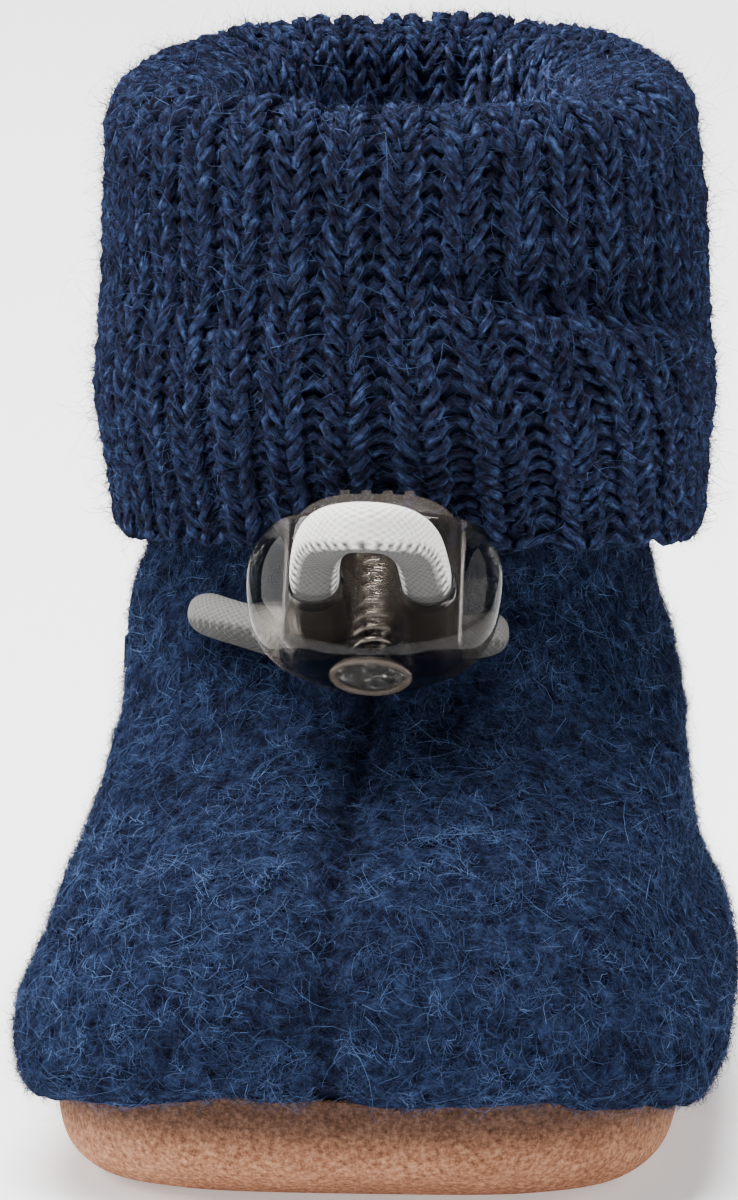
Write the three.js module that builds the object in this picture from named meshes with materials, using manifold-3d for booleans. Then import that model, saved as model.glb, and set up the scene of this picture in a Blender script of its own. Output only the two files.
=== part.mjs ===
// A child's bootie slipper: a felted wool upper on a turned-up suede sole, a rib-knit cuff folded down over
// the ankle, and an elastic drawcord held by a two-hole cord lock.
// Millimetres, +Z up. The toe points along -Y, and +X is the medial side of a right shoe.

import * as THREE from 'three';
import { mergeVertices } from 'three/addons/utils/BufferGeometryUtils.js';
import Module from 'manifold-3d';

// Driving dimensions
const LENGTH = 125; // heel to toe, over the wool
const BALL_WIDTH = 72; // across the toes, over the wool
const COLLAR_HEIGHT = 61; // floor to the top edge of the felted upper
const CUFF_RISE = 45.2; // collar to the crest of the folded cuff
const SOLE_WALL = 12.2; // turned-up suede at the toe
const FELT = 3; // wall of the upper
const KNIT = 2.8; // wall of the cuff
const SUEDE = 2; // wall of the sole
const FOOTBED = 2.5; // thickness of the insole
const GAP = 0.3; // between pieces that meet

// Tread: flat under the forefoot and the heel, with a low arch between them and a little toe spring
const TOE_SPRING = { from: -42, to: -49.5, rise: 0.7, most: 1.5 };
const ARCH = { from: -12, to: 22, rise: 1 };
// How much of that lift each section of the sole and the edge of the footbed follow
const FOLLOW = { tread: 1, turn: 0.9, bend: 0.6, wall: 0.2, footbed: 0.9 };
const BEND_WALL = 0.7; // wall of the sole where it bends, as a share of SUEDE, inwards and upwards

// The footbed's rounded edge: how far its rings stand out from the tread's outline
const FOOTBED_EDGE = { under: -0.6, middle: 1.2, top: 0.8 };

// The centre-front seam of the wool, a soft trough that drifts to the lateral side towards the toe
const SEAM = { depth: 1, halfWidth: 2.4, drift: -2, driftFrom: -25, driftTo: -60, fadeFrom: -5, fadeTo: 15 };

// Ribs of the knit: three columns of the surface make one rib, a valley and a raised strip
const RIBS = 38;
const COLUMNS_PER_RIB = 3;
const RIB_HEIGHT = 1;

// Drawcord and its lock. The lock leans back over the instep; its own Z runs up its height, its front is -Y.
const CORD = 5;
const WOOL_HOLE = { diameter: CORD + 2, reach: 8 };
const LOCK = { x: 0.6, y: -30, z: 58.5, lean: 36 };
const CHANNEL = { offset: 5.6, z: -1, diameter: CORD + 3 * GAP, reach: 9 };
const CAVITY = { halfWidth: 9.1, halfDepth: 4.3, floor: -7.6, mouth: 8 };
const FLOOR_BEVEL = { across: 1.2, deep: 0.6, up: 1.2 }; // of the cavity's floor
const STROKE = 2.5;
const SPRING = { radius: 1.65, wire: 0.6, turns: 8, top: 5 };
const SPRING_BORE = { diameter: 4.4, bottom: -6 };
const SPRING_PIN = { diameter: 1.8, top: -3.5, root: 0.5 };
const END_DISH = { diameter: 6.8, top: -8.5, bottom: -10 };

// Colours of the photographed object
const NAVY_FELT = 0x2b3d5e;
const NAVY_KNIT = 0x222f4b;
const TAN_SUEDE = 0xb08058;
const GREY_FELT = 0x8a8478;
const OFF_WHITE = 0xd6d6d0;
const SMOKE = 0x5a5654;
const STEEL = 0xb8b8b8;
const LABEL_NAVY = 0x1b2333;

// Sections are closed curves round the foot, named from the floor up. Places along the shoe (front, back and
// the widest place) are per cent of LENGTH, and half widths per cent of BALL_WIDTH. Heights (up) at the front
// and the back are per cent of the piece's own height. sag is how much lower the sides hang, in millimetres.
// toe and heel give the roundness: 2 is an ellipse, and more is squarer.
const COLUMNS = 'name front frontUp back backUp sag wide lateral medial toe heel'.split(' ');

const UPPER = sections(0, COLLAR_HEIGHT, [
  ['lip', -46.8, 19.0, 45.2, 15.7, 2.6, -27.2, 48.0, 48.3, 2.6, 3],
  ['puff', -50.0, 23.0, 48.0, 20.5, 1.6, -28.8, 49.2, 50.8, 2.6, 3],
  ['widest', -50.8, 31.1, 48.8, 29.5, 0.8, -27.2, 48.9, 51.1, 2.5, 3],
  ['toe top', -49.3, 41.8, 48.8, 41.8, 0, -20.8, 44.2, 45.8, 2.4, 2.8],
  ['vamp', -43.4, 53.3, 48.4, 54.1, 0, -11.2, 40.3, 43.0, 2.3, 2.6],
  ['waist', -33.4, 63.1, 47.6, 63.9, 0, 0, 39.2, 42.4, 2.1, 2.4],
  ['instep', -23.6, 73.0, 46.8, 73.8, 0, 9.6, 39.4, 40.6, 2, 2.2],
  ['throat', -16.8, 83.6, 46.1, 83.6, 0, 14.4, 39.4, 37.8, 2, 2],
  ['ankle', -13.2, 92.6, 45.2, 91.8, 0, 16, 36.9, 35.8, 2, 2],
  ['collar', -12.0, 100, 44.4, 100, 0, 16.8, 34.7, 34.7, 2, 2],
]);

// The cuff is one sheet of knit: its seen face runs from the hem up the flap, over the crest and down inside.
const CUFF = sections(COLLAR_HEIGHT, CUFF_RISE, [
  ['hem', -15.1, 0, 48.8, -13.3, 1.5, 16, 41.3, 43.9, 2.1, 2.1],
  ['over the lock', -16.2, 11.1, 49.4, 0, 1, 16, 42.0, 44.2, 2.2, 2.1],
  ['bulge', -18.1, 26.5, 49.8, 24.3, 0, 16, 44.2, 45.0, 2.2, 2.1],
  ['crease', -17.3, 46.5, 49.3, 46.5, 0, 16, 43.1, 44.3, 2.2, 2.1],
  ['flap', -16.8, 68.6, 48.8, 68.6, 0, 16, 42.5, 43.5, 2.2, 2.1],
  ['shoulder', -16.5, 90.7, 48.4, 90.7, 0.5, 16, 42.0, 42.2, 2.2, 2.05],
  ['outer roll', -15.5, 97.3, 47.4, 97.3, 0.8, 16, 39.7, 39.7, 2.15, 2],
  ['crest', -13.1, 100, 45.3, 100, 1, 16, 36.8, 36.7, 2.1, 2],
  ['inner roll', -10.5, 97.3, 42.9, 97.3, 0.8, 16, 30.4, 30.4, 2.05, 2],
  ['mouth', -9.3, 90.7, 41.6, 90.7, 0.5, 16, 25.2, 25.2, 2, 2],
  ['tube', -9.5, 64.2, 41.8, 64.2, 0, 16, 24.4, 24.4, 2, 2],
  ['tube low', -9.8, 31.0, 42.2, 31.0, 0, 16.4, 27.4, 27.4, 2, 2],
  ['joining seam', -9.8, 0.9, 42.2, 0.9, 0, 16.8, 30.8, 30.8, 2, 2],
]);

const SOLE = sections(0, SOLE_WALL, [
  ['tread', -39.6, 0, 38.4, 0, 0, -24.0, 33.6, 33.6, 2.6, 3],
  ['turn', -42.6, 8, 41.4, 8, 0, -24.6, 38.6, 38.8, 2.6, 3],
  ['bend', -44.9, 27, 43.5, 27, 0, -25.2, 41.9, 42.3, 2.6, 3],
  ['wall', -45.9, 55, 44.5, 55, 0, -25.6, 43.3, 43.9, 2.6, 3],
  ['edge', -46.2, 100, 44.8, 83.6, 0, -25.6, 43.6, 44.4, 2.6, 3],
]);

// Columns round the foot, and how much closer together they are at the toe
const FOOT_COLUMNS = 56;
const TOE_BIAS = 0.45;
const OUTLINE_STEPS = 120; // along half a section, before the columns are spread over it

// Sides of the round pieces and cuts, and steps along the cord and along each turn of the spring
const SIDES = {
  cord: 8,
  woolHole: 14,
  barrel: 32,
  slider: 24,
  channel: 16,
  bore: 16,
  dish: 18,
  pin: 10,
  wire: 5,
};
const CORD_STEPS = 52;
const COIL_STEPS = 8;

// Levels (places between the sections above) where rings of the surface are made
const UPPER_OUTSIDE = [0, 0.5, 1, 1.6, 2.3, 3, 3.6, 4.3, 5, 5.7, 6.4, 7, 7.6, 8.3, 9];
const UPPER_INSIDE = [9, 8, 7, 6, 5, 4, 3.2, 2.4, 1.7];
const CUFF_SEEN = [0, 1, 2, 3, 5, 6, 7, 8, 9, 12];
const CUFF_HIDDEN = [12, 9, 7, 5, 3, 2, 0];

// The cord lock's body and its slider: height, half width and half depth of their sections, and how square
// these are, as above
const BARREL_SQUARENESS = 2.5;
const SLIDER_SQUARENESS = 4;
const BARREL = [
  [-9.2, 5.0, 4.5],
  [-8.7, 6.6, 5.1],
  [-7.2, 10.0, 5.7],
  [-4.2, 12.2, 6.0],
  [0, 13.0, 6.1],
  [3.5, 12.8, 6.1],
  [6.0, 11.6, 5.8],
  [6.8, 10.7, 5.4],
];
// The slider fills the cavity with a gap; its sections are given by how far they have rounded in from that
const PLUNGER = [
  [-4.9, 1.2, 0.6],
  [-3.9, 0, 0],
  [6.4, 0, 0],
  [8.6, 1.4, 0.4],
  [9.6, 3.0, 0.9],
  [10.1, 4.8, 1.6],
].map(([z, across, deep]) => [z, CAVITY.halfWidth - GAP - across, CAVITY.halfDepth - GAP - deep]);
const GRIPS = { count: 4, spacing: 2.2, width: 1, length: 4.6, height: 1, z: 10.05 };

// The drawcord's route outside the lock, from each hole in the wool to the back of its channel
const LATERAL_RUN = [
  [-17.6, -9.2, 52.7],
  [-18.3, -12.8, 53.3],
  [-16.9, -16.9, 53.6],
  [-13.4, -20.3, 53.3],
  [-9.1, -22.1, 52.9],
];
const MEDIAL_RUN = [
  [10.9, -11.4, 51.6],
  [11.3, -14.8, 52.05],
  [11.6, -18.0, 52.4],
  [10.9, -20.9, 52.6],
  [9.1, -22.7, 52.8],
];
const LOCK_RUN = 7.2; // the cord is straight this far to either side of the lock's middle
const LOOP_REACH = 17.5; // centre of the cord at the loop's tip, ahead of the lock's middle
const LOOP_ARCH = 1; // how much the loop's legs rise on the way to its tip, which droops again
const LOOP_TURNS = [30, 60, 90, 120, 150]; // degrees round the half oval that the loop makes
const LOOP_POINT = 1.3; // how pointed the oval is: 1 is a half ellipse

// Where the wool laps down over the sole's edge: how far its fold reaches above the wool's lower edge,
// and its clearance to the sole
const LAP = { rise: 0.7, clearance: 0.4 };

// The blank label on the lateral side of the ankle: its place between the sections and round the outline
const LABEL = { fromLevel: 5.6, toLevel: 6.05, fromShare: 0.5, toShare: 0.6, thickness: 0.5, steps: 5 };

const wasm = await Module();
wasm.setup();

// Section rows in millimetres
function sections(base, height, rows) {
  return rows.map((row) => {
    const cell = Object.fromEntries(COLUMNS.map((column, i) => [column, row[i]]));
    const along = (share) => (share * LENGTH) / 100;
    const across = (share) => (share * BALL_WIDTH) / 100;
    const up = (share) => base + (share * height) / 100;
    return {
      front: along(cell.front),
      back: along(cell.back),
      wide: along(cell.wide),
      frontZ: up(cell.frontUp),
      backZ: up(cell.backUp),
      lateral: across(cell.lateral),
      medial: across(cell.medial),
      sag: cell.sag,
      toe: cell.toe,
      heel: cell.heel,
    };
  });
}

// The section at a level between two rows, on a smooth curve through the rows
function sectionAt(table, level) {
  const last = table.length - 1;
  const i = Math.min(Math.floor(level), last - 1);
  const f = level - i;
  const rows = [i - 1, i, i + 1, i + 2].map((k) => table[THREE.MathUtils.clamp(k, 0, last)]);
  const smooth = (a, b, c, d) =>
    b + 0.5 * f * (c - a + f * (2 * a - 5 * b + 4 * c - d + f * (3 * (b - c) + d - a)));
  return Object.fromEntries(Object.keys(rows[0]).map((key) => [key, smooth(...rows.map((row) => row[key]))]));
}

// One half of a section, from the front centre to the back centre, at even steps of angle
function halfOutline(section, side) {
  const halfWidth = side > 0 ? section.medial : section.lateral;
  const points = [];
  for (let i = 0; i <= OUTLINE_STEPS; i++) {
    const angle = (Math.PI * i) / OUTLINE_STEPS;
    const ahead = Math.cos(angle);
    const out = Math.sin(angle);
    const power = 2 / (ahead > 0 ? section.toe : section.heel);
    const reach = (ahead > 0 ? section.front : section.back) - section.wide;
    const x = side * halfWidth * Math.abs(out) ** power;
    const y = section.wide + reach * Math.abs(ahead) ** power;
    const back = (y - section.front) / (section.back - section.front);
    const z = THREE.MathUtils.lerp(section.frontZ, section.backZ, back) - section.sag * out * out;
    points.push(new THREE.Vector3(x, y, z));
  }
  return points;
}

// Points of a polyline at shares of its length
function atShares(points, shares) {
  const lengths = [0];
  for (let i = 1; i < points.length; i++) {
    lengths.push(lengths[i - 1] + points[i].distanceTo(points[i - 1]));
  }
  const total = lengths.at(-1);
  let k = 1;
  return shares.map((share) => {
    while (k < points.length - 1 && lengths[k] < share * total) {
      k++;
    }
    const f = (share * total - lengths[k - 1]) / (lengths[k] - lengths[k - 1]);
    return points[k - 1].clone().lerp(points[k], f);
  });
}

// Shares of half an outline for a ring with that many columns, closer together at the toe for a higher bias
function halfShares(columns, bias) {
  const half = columns / 2;
  const share = (j) => j / half - (bias / Math.PI) * Math.sin((Math.PI * j) / half);
  return Array.from({ length: half + 1 }, (_, j) => share(j));
}

// A whole ring: from the front centre round the medial side to the heel, and back along the lateral side
function ring(section, shares) {
  const medial = atShares(halfOutline(section, 1), shares);
  const lateral = atShares(halfOutline(section, -1), shares);
  return [...medial, ...lateral.slice(1, -1).reverse()];
}

// A ring of a surface, lifted off it along the normal by lift(point, column)
function skin(table, level, shares, lift) {
  const step = 0.02;
  const top = table.length - 1;
  const here = ring(sectionAt(table, level), shares);
  const below = ring(sectionAt(table, Math.max(level - step, 0)), shares);
  const above = ring(sectionAt(table, Math.min(level + step, top)), shares);
  const count = here.length;
  return here.map((point, c) => {
    const round = here[(c + 1) % count].clone().sub(here[(c + count - 1) % count]);
    const along = above[c].clone().sub(below[c]);
    return point.clone().addScaledVector(round.cross(along).normalize(), lift(point, c));
  });
}

// A level ring grown outwards by that distance
function grown(points, distance) {
  const count = points.length;
  return points.map((point, c) => {
    const round = points[(c + 1) % count].clone().sub(points[(c + count - 1) % count]);
    return point.clone().add(new THREE.Vector3(round.y, -round.x, 0).setLength(distance));
  });
}

const raised = (points, distance) => points.map((p) => new THREE.Vector3(p.x, p.y, p.z + distance));

// Triangles between rings of one size. A wrapped loft joins its last ring to its first; any other is capped.
function loft(rings, wrapped) {
  const count = rings[0].length;
  const rows = rings.length;
  const triangles = [];
  const quad = (a, b, c, d) => triangles.push(a, b, c, a, c, d);
  for (let r = 0; r < (wrapped ? rows : rows - 1); r++) {
    const here = r * count;
    const next = ((r + 1) % rows) * count;
    for (let c = 0; c < count; c++) {
      const d = (c + 1) % count;
      quad(here + c, here + d, next + d, next + c);
    }
  }
  // A cap is laced across from the medial side to the lateral side
  const cap = (base, facingUp) => {
    for (let c = 0; c < count / 2; c++) {
      const left = base + ((count - c) % count);
      const corners = [base + c, base + c + 1, base + count - c - 1, left];
      for (const [i, j, k] of [[0, 1, 2], [0, 2, 3]]) {
        const face = [corners[i], corners[j], corners[k]];
        if (new Set(face).size === 3) {
          triangles.push(...(facingUp ? face : face.reverse()));
        }
      }
    }
  };
  if (!wrapped) {
    cap(0, false);
    cap((rows - 1) * count, true);
  }
  const geometry = new THREE.BufferGeometry();
  const positions = rings.flat().flatMap((p) => p.toArray());
  geometry.setAttribute('position', new THREE.Float32BufferAttribute(positions, 3));
  geometry.setIndex(triangles);
  return geometry;
}

// Joining and cutting of closed geometries
function toSolid(geometry) {
  const bare = geometry.clone();
  bare.deleteAttribute('normal');
  bare.deleteAttribute('uv');
  const merged = mergeVertices(bare, 1e-4);
  const vertProperties = new Float32Array(merged.attributes.position.array);
  const triVerts = new Uint32Array(merged.index.array);
  return new wasm.Manifold(new wasm.Mesh({ numProp: 3, vertProperties, triVerts }));
}

function toGeometry(solid) {
  const mesh = solid.getMesh();
  const geometry = new THREE.BufferGeometry();
  geometry.setAttribute('position', new THREE.BufferAttribute(mesh.vertProperties, 3));
  geometry.setIndex(new THREE.BufferAttribute(mesh.triVerts, 1));
  return geometry;
}

function cut(geometry, tools) {
  return toGeometry(tools.reduce((solid, tool) => solid.subtract(toSolid(tool)), toSolid(geometry)));
}

function join(geometry, extras) {
  return toGeometry(extras.reduce((solid, extra) => solid.add(toSolid(extra)), toSolid(geometry)));
}

function piece(name, geometry, color, roughness, metalness = 0) {
  const mesh = new THREE.Mesh(geometry, new THREE.MeshStandardMaterial({ color, roughness, metalness }));
  mesh.name = name;
  return mesh;
}

// A round bar between two points
function bar(from, to, diameter, sides) {
  const way = to.clone().sub(from);
  const geometry = new THREE.CylinderGeometry(diameter / 2, diameter / 2, way.length(), sides);
  const turn = new THREE.Quaternion().setFromUnitVectors(THREE.Object3D.DEFAULT_UP, way.normalize());
  geometry.applyQuaternion(turn);
  return geometry.translate((from.x + to.x) / 2, (from.y + to.y) / 2, (from.z + to.z) / 2);
}

// A tube along a curve
function tube(curve, diameter, sides, steps) {
  const rim = Array.from({ length: sides }, (_, i) => {
    const angle = (2 * Math.PI * i) / sides;
    return new THREE.Vector2(Math.cos(angle), Math.sin(angle)).multiplyScalar(diameter / 2);
  });
  return new THREE.ExtrudeGeometry(new THREE.Shape(rim), { extrudePath: curve, steps });
}

// An upright loft of squarish ovals given as height, half width and half depth
function ovalLoft(rows, squareness, sides) {
  const oval = ([z, halfWidth, halfDepth]) =>
    Array.from({ length: sides }, (_, i) => {
      const angle = (2 * Math.PI * i) / sides;
      const bend = (value) => Math.sign(value) * Math.abs(value) ** (2 / squareness);
      return new THREE.Vector3(halfWidth * bend(Math.sin(angle)), -halfDepth * bend(Math.cos(angle)), z);
    });
  return loft(rows.map(oval), false);
}

// How far the tread is off the floor at that place along the shoe
function treadLift(y) {
  const share = ({ from, to }, most) => THREE.MathUtils.clamp((y - from) / (to - from), 0, most);
  const spring = share(TOE_SPRING, TOE_SPRING.most);
  const arch = share(ARCH, 1);
  return TOE_SPRING.rise * spring ** 2 + ARCH.rise * Math.sin(Math.PI * arch) ** 2;
}

function onTread(points, share) {
  return points.map((p) => new THREE.Vector3(p.x, p.y, p.z + share * treadLift(p.y)));
}

// Depth of the centre-front seam at a point of the wool
function seamTrough(point) {
  const { driftFrom, driftTo, drift, halfWidth, depth, fadeFrom, fadeTo } = SEAM;
  const share = THREE.MathUtils.clamp((point.y - driftFrom) / (driftTo - driftFrom), 0, 1);
  const off = (point.x - drift * share) / halfWidth;
  const onFront = THREE.MathUtils.smoothstep(-point.y, fadeFrom, fadeTo);
  return -depth * onFront * Math.exp(-off * off);
}

const footShares = halfShares(FOOT_COLUMNS, TOE_BIAS);

function makeOutsole() {
  const [tread, turn, bend, wall, edge] = SOLE.map((section) => ring(section, footShares));
  const inner = (points, inset, rise) => raised(grown(points, -inset), rise);
  return loft(
    [
      onTread(tread, FOLLOW.tread),
      onTread(turn, FOLLOW.turn),
      onTread(bend, FOLLOW.bend),
      onTread(wall, FOLLOW.wall),
      edge,
      inner(edge, SUEDE, 0),
      inner(wall, SUEDE, 0),
      onTread(inner(bend, SUEDE * BEND_WALL, SUEDE * BEND_WALL), FOLLOW.bend),
      onTread(inner(tread, 0, SUEDE), FOLLOW.tread),
    ],
    false,
  );
}

// The footbed lies on the floor of the sole and follows its tread
function makeInsole() {
  const floor = raised(ring(SOLE[0], footShares), SUEDE + GAP);
  return loft(
    [
      onTread(grown(floor, FOOTBED_EDGE.under), FOLLOW.tread),
      onTread(raised(grown(floor, FOOTBED_EDGE.middle), FOOTBED / 2), FOLLOW.footbed),
      onTread(raised(grown(floor, FOOTBED_EDGE.top), FOOTBED), FOLLOW.footbed),
    ],
    false,
  );
}

function makeUpper() {
  const seat = raised(ring(SOLE.at(-1), footShares), GAP);
  const lip = skin(UPPER, 0, footShares, seamTrough);
  const shoulder = grown(seat, LAP.clearance);
  const lap = shoulder.map((p, c) => new THREE.Vector3(p.x, p.y, Math.min(p.z, lip[c].z + LAP.rise)));
  const outside = UPPER_OUTSIDE.map((level) => skin(UPPER, level, footShares, seamTrough));
  const inside = UPPER_INSIDE.map((level) => skin(UPPER, level, footShares, () => -FELT));
  const wall = loft([grown(seat, -SUEDE), shoulder, lap, ...outside, ...inside], true);
  const holes = [LATERAL_RUN, MEDIAL_RUN].map(([start, next]) => {
    const from = new THREE.Vector3(...start);
    const way = new THREE.Vector3(...next).sub(from).normalize();
    const inner = from.clone().addScaledVector(way, -WOOL_HOLE.reach);
    const outer = from.clone().addScaledVector(way, WOOL_HOLE.reach);
    return bar(inner, outer, WOOL_HOLE.diameter, SIDES.woolHole);
  });
  return cut(wall, holes);
}

function makeCuff() {
  const shares = halfShares(RIBS * COLUMNS_PER_RIB, 0);
  const rib = (_, column) => (column % COLUMNS_PER_RIB === 0 ? -0.5 : 0.5) * RIB_HEIGHT;
  const seen = CUFF_SEEN.map((level) => skin(CUFF, level, shares, rib));
  const hidden = CUFF_HIDDEN.map((level) => skin(CUFF, level, shares, () => -KNIT));
  return loft([...seen, ...hidden], true);
}

// The blank label, a thin patch over the wool's own surface
function makeLabel() {
  const side = Array.from({ length: LABEL.steps + 1 }, (_, i) =>
    THREE.MathUtils.lerp(LABEL.fromShare, LABEL.toShare, i / LABEL.steps));
  const shares = [0, ...side, 1];
  const strip = (level, lift) => {
    const points = skin(UPPER, level, shares, () => lift);
    return points.slice(shares.length).reverse();
  };
  const under = [strip(LABEL.fromLevel, GAP), strip(LABEL.toLevel, GAP)];
  const over = [strip(LABEL.toLevel, GAP + LABEL.thickness), strip(LABEL.fromLevel, GAP + LABEL.thickness)];
  const across = side.map((_, i) => [...under, ...over].map((row) => row[i]));
  return loft(across.reverse(), false);
}

// The route through the lock: along one channel, round the loop in front of the lock, back along the other
function lockRoute() {
  const { offset, z } = CHANNEL;
  const depths = [LOCK_RUN, LOCK_RUN / 2, 0, -LOCK_RUN / 2, -LOCK_RUN];
  const leg = (side) => depths.map((y) => [side * offset, y, z]);
  const loop = LOOP_TURNS.map((turn) => {
    const angle = THREE.MathUtils.degToRad(turn);
    const reach = Math.sin(angle) ** LOOP_POINT;
    const y = -THREE.MathUtils.lerp(LOCK_RUN, LOOP_REACH, reach);
    return [-offset * Math.cos(angle), y, z + LOOP_ARCH * Math.sin(Math.PI * reach)];
  });
  return [...leg(-1), ...loop, ...leg(1).reverse()];
}

function makeDrawcord(lockPlace) {
  const middle = lockRoute().map((p) => new THREE.Vector3(...p).applyMatrix4(lockPlace));
  const lateral = LATERAL_RUN.map((p) => new THREE.Vector3(...p));
  const medial = MEDIAL_RUN.map((p) => new THREE.Vector3(...p)).reverse();
  const route = new THREE.CatmullRomCurve3([...lateral, ...middle, ...medial]);
  return tube(route, CORD, SIDES.cord, CORD_STEPS);
}

// The two cord channels, as bars to cut with, moved up by that distance
function channelBars(rise) {
  const { offset, z, reach, diameter } = CHANNEL;
  return [-offset, offset].map((x) => {
    const from = new THREE.Vector3(x, -reach, z + rise);
    return bar(from, new THREE.Vector3(x, reach, z + rise), diameter, SIDES.channel);
  });
}

function upright(fromZ, toZ, diameter, sides) {
  return bar(new THREE.Vector3(0, 0, fromZ), new THREE.Vector3(0, 0, toZ), diameter, sides);
}

function makeBarrel() {
  const { halfWidth, halfDepth, floor, mouth } = CAVITY;
  const body = ovalLoft(BARREL, BARREL_SQUARENESS, SIDES.barrel);
  const { across, deep, up } = FLOOR_BEVEL;
  const cavityRows = [
    [floor, halfWidth - across, halfDepth - deep],
    [floor + up, halfWidth, halfDepth],
    [mouth, halfWidth, halfDepth],
  ];
  const cavity = ovalLoft(cavityRows, SLIDER_SQUARENESS, SIDES.slider);
  const dish = upright(END_DISH.bottom, END_DISH.top, END_DISH.diameter, SIDES.dish);
  const pin = upright(floor - SPRING_PIN.root, SPRING_PIN.top, SPRING_PIN.diameter, SIDES.pin);
  return join(cut(body, [cavity, dish, ...channelBars(0)]), [pin]);
}

// The press piece: a slider with a spring bore and two cord windows long enough for the stroke
function makePlunger() {
  const grips = Array.from({ length: GRIPS.count }, (_, i) => {
    const x = (i - (GRIPS.count - 1) / 2) * GRIPS.spacing;
    return new THREE.BoxGeometry(GRIPS.width, GRIPS.length, GRIPS.height).translate(x, 0, GRIPS.z);
  });
  const slider = join(ovalLoft(PLUNGER, SLIDER_SQUARENESS, SIDES.slider), grips);
  const bore = upright(SPRING_BORE.bottom, SPRING.top + GAP, SPRING_BORE.diameter, SIDES.bore);
  const { offset, z, reach, diameter } = CHANNEL;
  const slots = [-offset, offset].map((x) =>
    new THREE.BoxGeometry(diameter, 2 * reach, STROKE).translate(x, 0, z + STROKE / 2));
  return cut(slider, [bore, ...channelBars(0), ...channelBars(STROKE), ...slots]);
}

class Coil extends THREE.Curve {
  getPoint(t, target = new THREE.Vector3()) {
    const angle = 2 * Math.PI * SPRING.turns * t;
    const bottom = CAVITY.floor + GAP + SPRING.wire / 2;
    const z = THREE.MathUtils.lerp(bottom, SPRING.top - SPRING.wire / 2, t);
    return target.set(SPRING.radius * Math.cos(angle), SPRING.radius * Math.sin(angle), z);
  }
}

const slipper = new THREE.Group();

const lock = new THREE.Group();
lock.position.set(LOCK.x, LOCK.y, LOCK.z);
lock.rotation.x = -THREE.MathUtils.degToRad(LOCK.lean);
lock.updateMatrix();
lock.add(piece('lock_barrel', makeBarrel(), SMOKE, 0.25));
lock.add(piece('lock_plunger', makePlunger(), SMOKE, 0.25));
const coil = tube(new Coil(), SPRING.wire, SIDES.wire, SPRING.turns * COIL_STEPS);
lock.add(piece('lock_spring', coil, STEEL, 0.3, 1));

slipper.add(piece('outsole', makeOutsole(), TAN_SUEDE, 0.95));
slipper.add(piece('insole', makeInsole(), GREY_FELT, 0.95));
slipper.add(piece('upper', makeUpper(), NAVY_FELT, 1));
slipper.add(piece('cuff', makeCuff(), NAVY_KNIT, 1));
slipper.add(piece('side_label', makeLabel(), LABEL_NAVY, 0.8));
slipper.add(lock);

// The origin is on the floor, under the middle of the shoe without its cord
const box = new THREE.Box3().setFromObject(slipper, true);
slipper.position.set(-(box.min.x + box.max.x) / 2, -(box.min.y + box.max.y) / 2, -box.min.z);

slipper.add(piece('drawcord', makeDrawcord(lock.matrix), OFF_WHITE, 0.9));

export default slipper;
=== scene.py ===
# A child's bootie slipper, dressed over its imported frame: felted wool, a cuff of real rib stitches, a suede
# sole, an elastic drawcord and a clear cord lock. place() turns its own millimetres into the frame's metres.
import math
from collections import namedtuple
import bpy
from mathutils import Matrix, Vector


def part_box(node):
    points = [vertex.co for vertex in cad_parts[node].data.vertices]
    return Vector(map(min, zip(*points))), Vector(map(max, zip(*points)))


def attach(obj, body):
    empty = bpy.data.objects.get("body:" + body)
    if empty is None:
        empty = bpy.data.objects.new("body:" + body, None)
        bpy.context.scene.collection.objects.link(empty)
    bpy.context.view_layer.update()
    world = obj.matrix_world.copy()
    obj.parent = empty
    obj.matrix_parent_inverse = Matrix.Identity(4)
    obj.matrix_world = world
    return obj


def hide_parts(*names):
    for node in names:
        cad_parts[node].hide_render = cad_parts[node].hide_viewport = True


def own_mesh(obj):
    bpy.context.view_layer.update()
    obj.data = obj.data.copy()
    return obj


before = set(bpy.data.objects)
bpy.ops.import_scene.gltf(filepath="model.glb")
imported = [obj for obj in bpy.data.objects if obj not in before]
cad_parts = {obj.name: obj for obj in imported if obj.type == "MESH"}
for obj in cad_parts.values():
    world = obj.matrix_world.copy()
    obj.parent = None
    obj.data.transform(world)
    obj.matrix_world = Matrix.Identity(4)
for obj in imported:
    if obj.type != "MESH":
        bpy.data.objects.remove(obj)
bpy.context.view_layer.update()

from types import SimpleNamespace as Sizes

import bpy
import numpy as np
from mathutils import Vector, noise

rng = np.random.default_rng(11)
MM = 0.001

# Driving dimensions
LENGTH = 125
BALL_WIDTH = 72
COLLAR_HEIGHT = 61
CUFF_RISE = 45.2
SOLE_WALL = 12.2
FELT = 3
KNIT = 2.8
SUEDE = 2
FOOTBED = 2.5
GAP = 0.3
TOE_SPRING = Sizes(start=-42, end=-49.5, rise=0.7, most=1.5)
ARCH = Sizes(start=-12, end=22, rise=1)
FOLLOW = [1, 0.9, 0.6, 0.2, 0]  # how much of the tread's lift each section of the sole follows
LAP = Sizes(rise=0.7, clearance=0.4)

# Drawcord and its lock
CORD = 5
LOCK = Sizes(x=0.6, y=-30, z=58.5, lean=36)
CHANNEL = Sizes(offset=5.6, z=-1, diameter=CORD + 3 * GAP, reach=9)
CAVITY = Sizes(half_width=9.1, half_depth=4.3, floor=-7.6, mouth=8)
FLOOR_BEVEL = Sizes(across=1.2, deep=0.6, up=1.2)
STROKE = 2.5
SPRING = Sizes(radius=1.65, wire=0.6, turns=8, top=5)
SPRING_BORE = Sizes(diameter=4.4, bottom=-6)
SPRING_PIN = Sizes(diameter=1.8, top=-3.5, sunk=0.5)
END_DISH = Sizes(diameter=6.8, top=-8.5, bottom=-10)
LOCK_RUN = 7.2
LOOP_REACH = 17.5
LOOP_POINT = 1.3
LOOP_ARCH = 1
LOOP_TURNS = (30, 60, 90, 120, 150)

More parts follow.
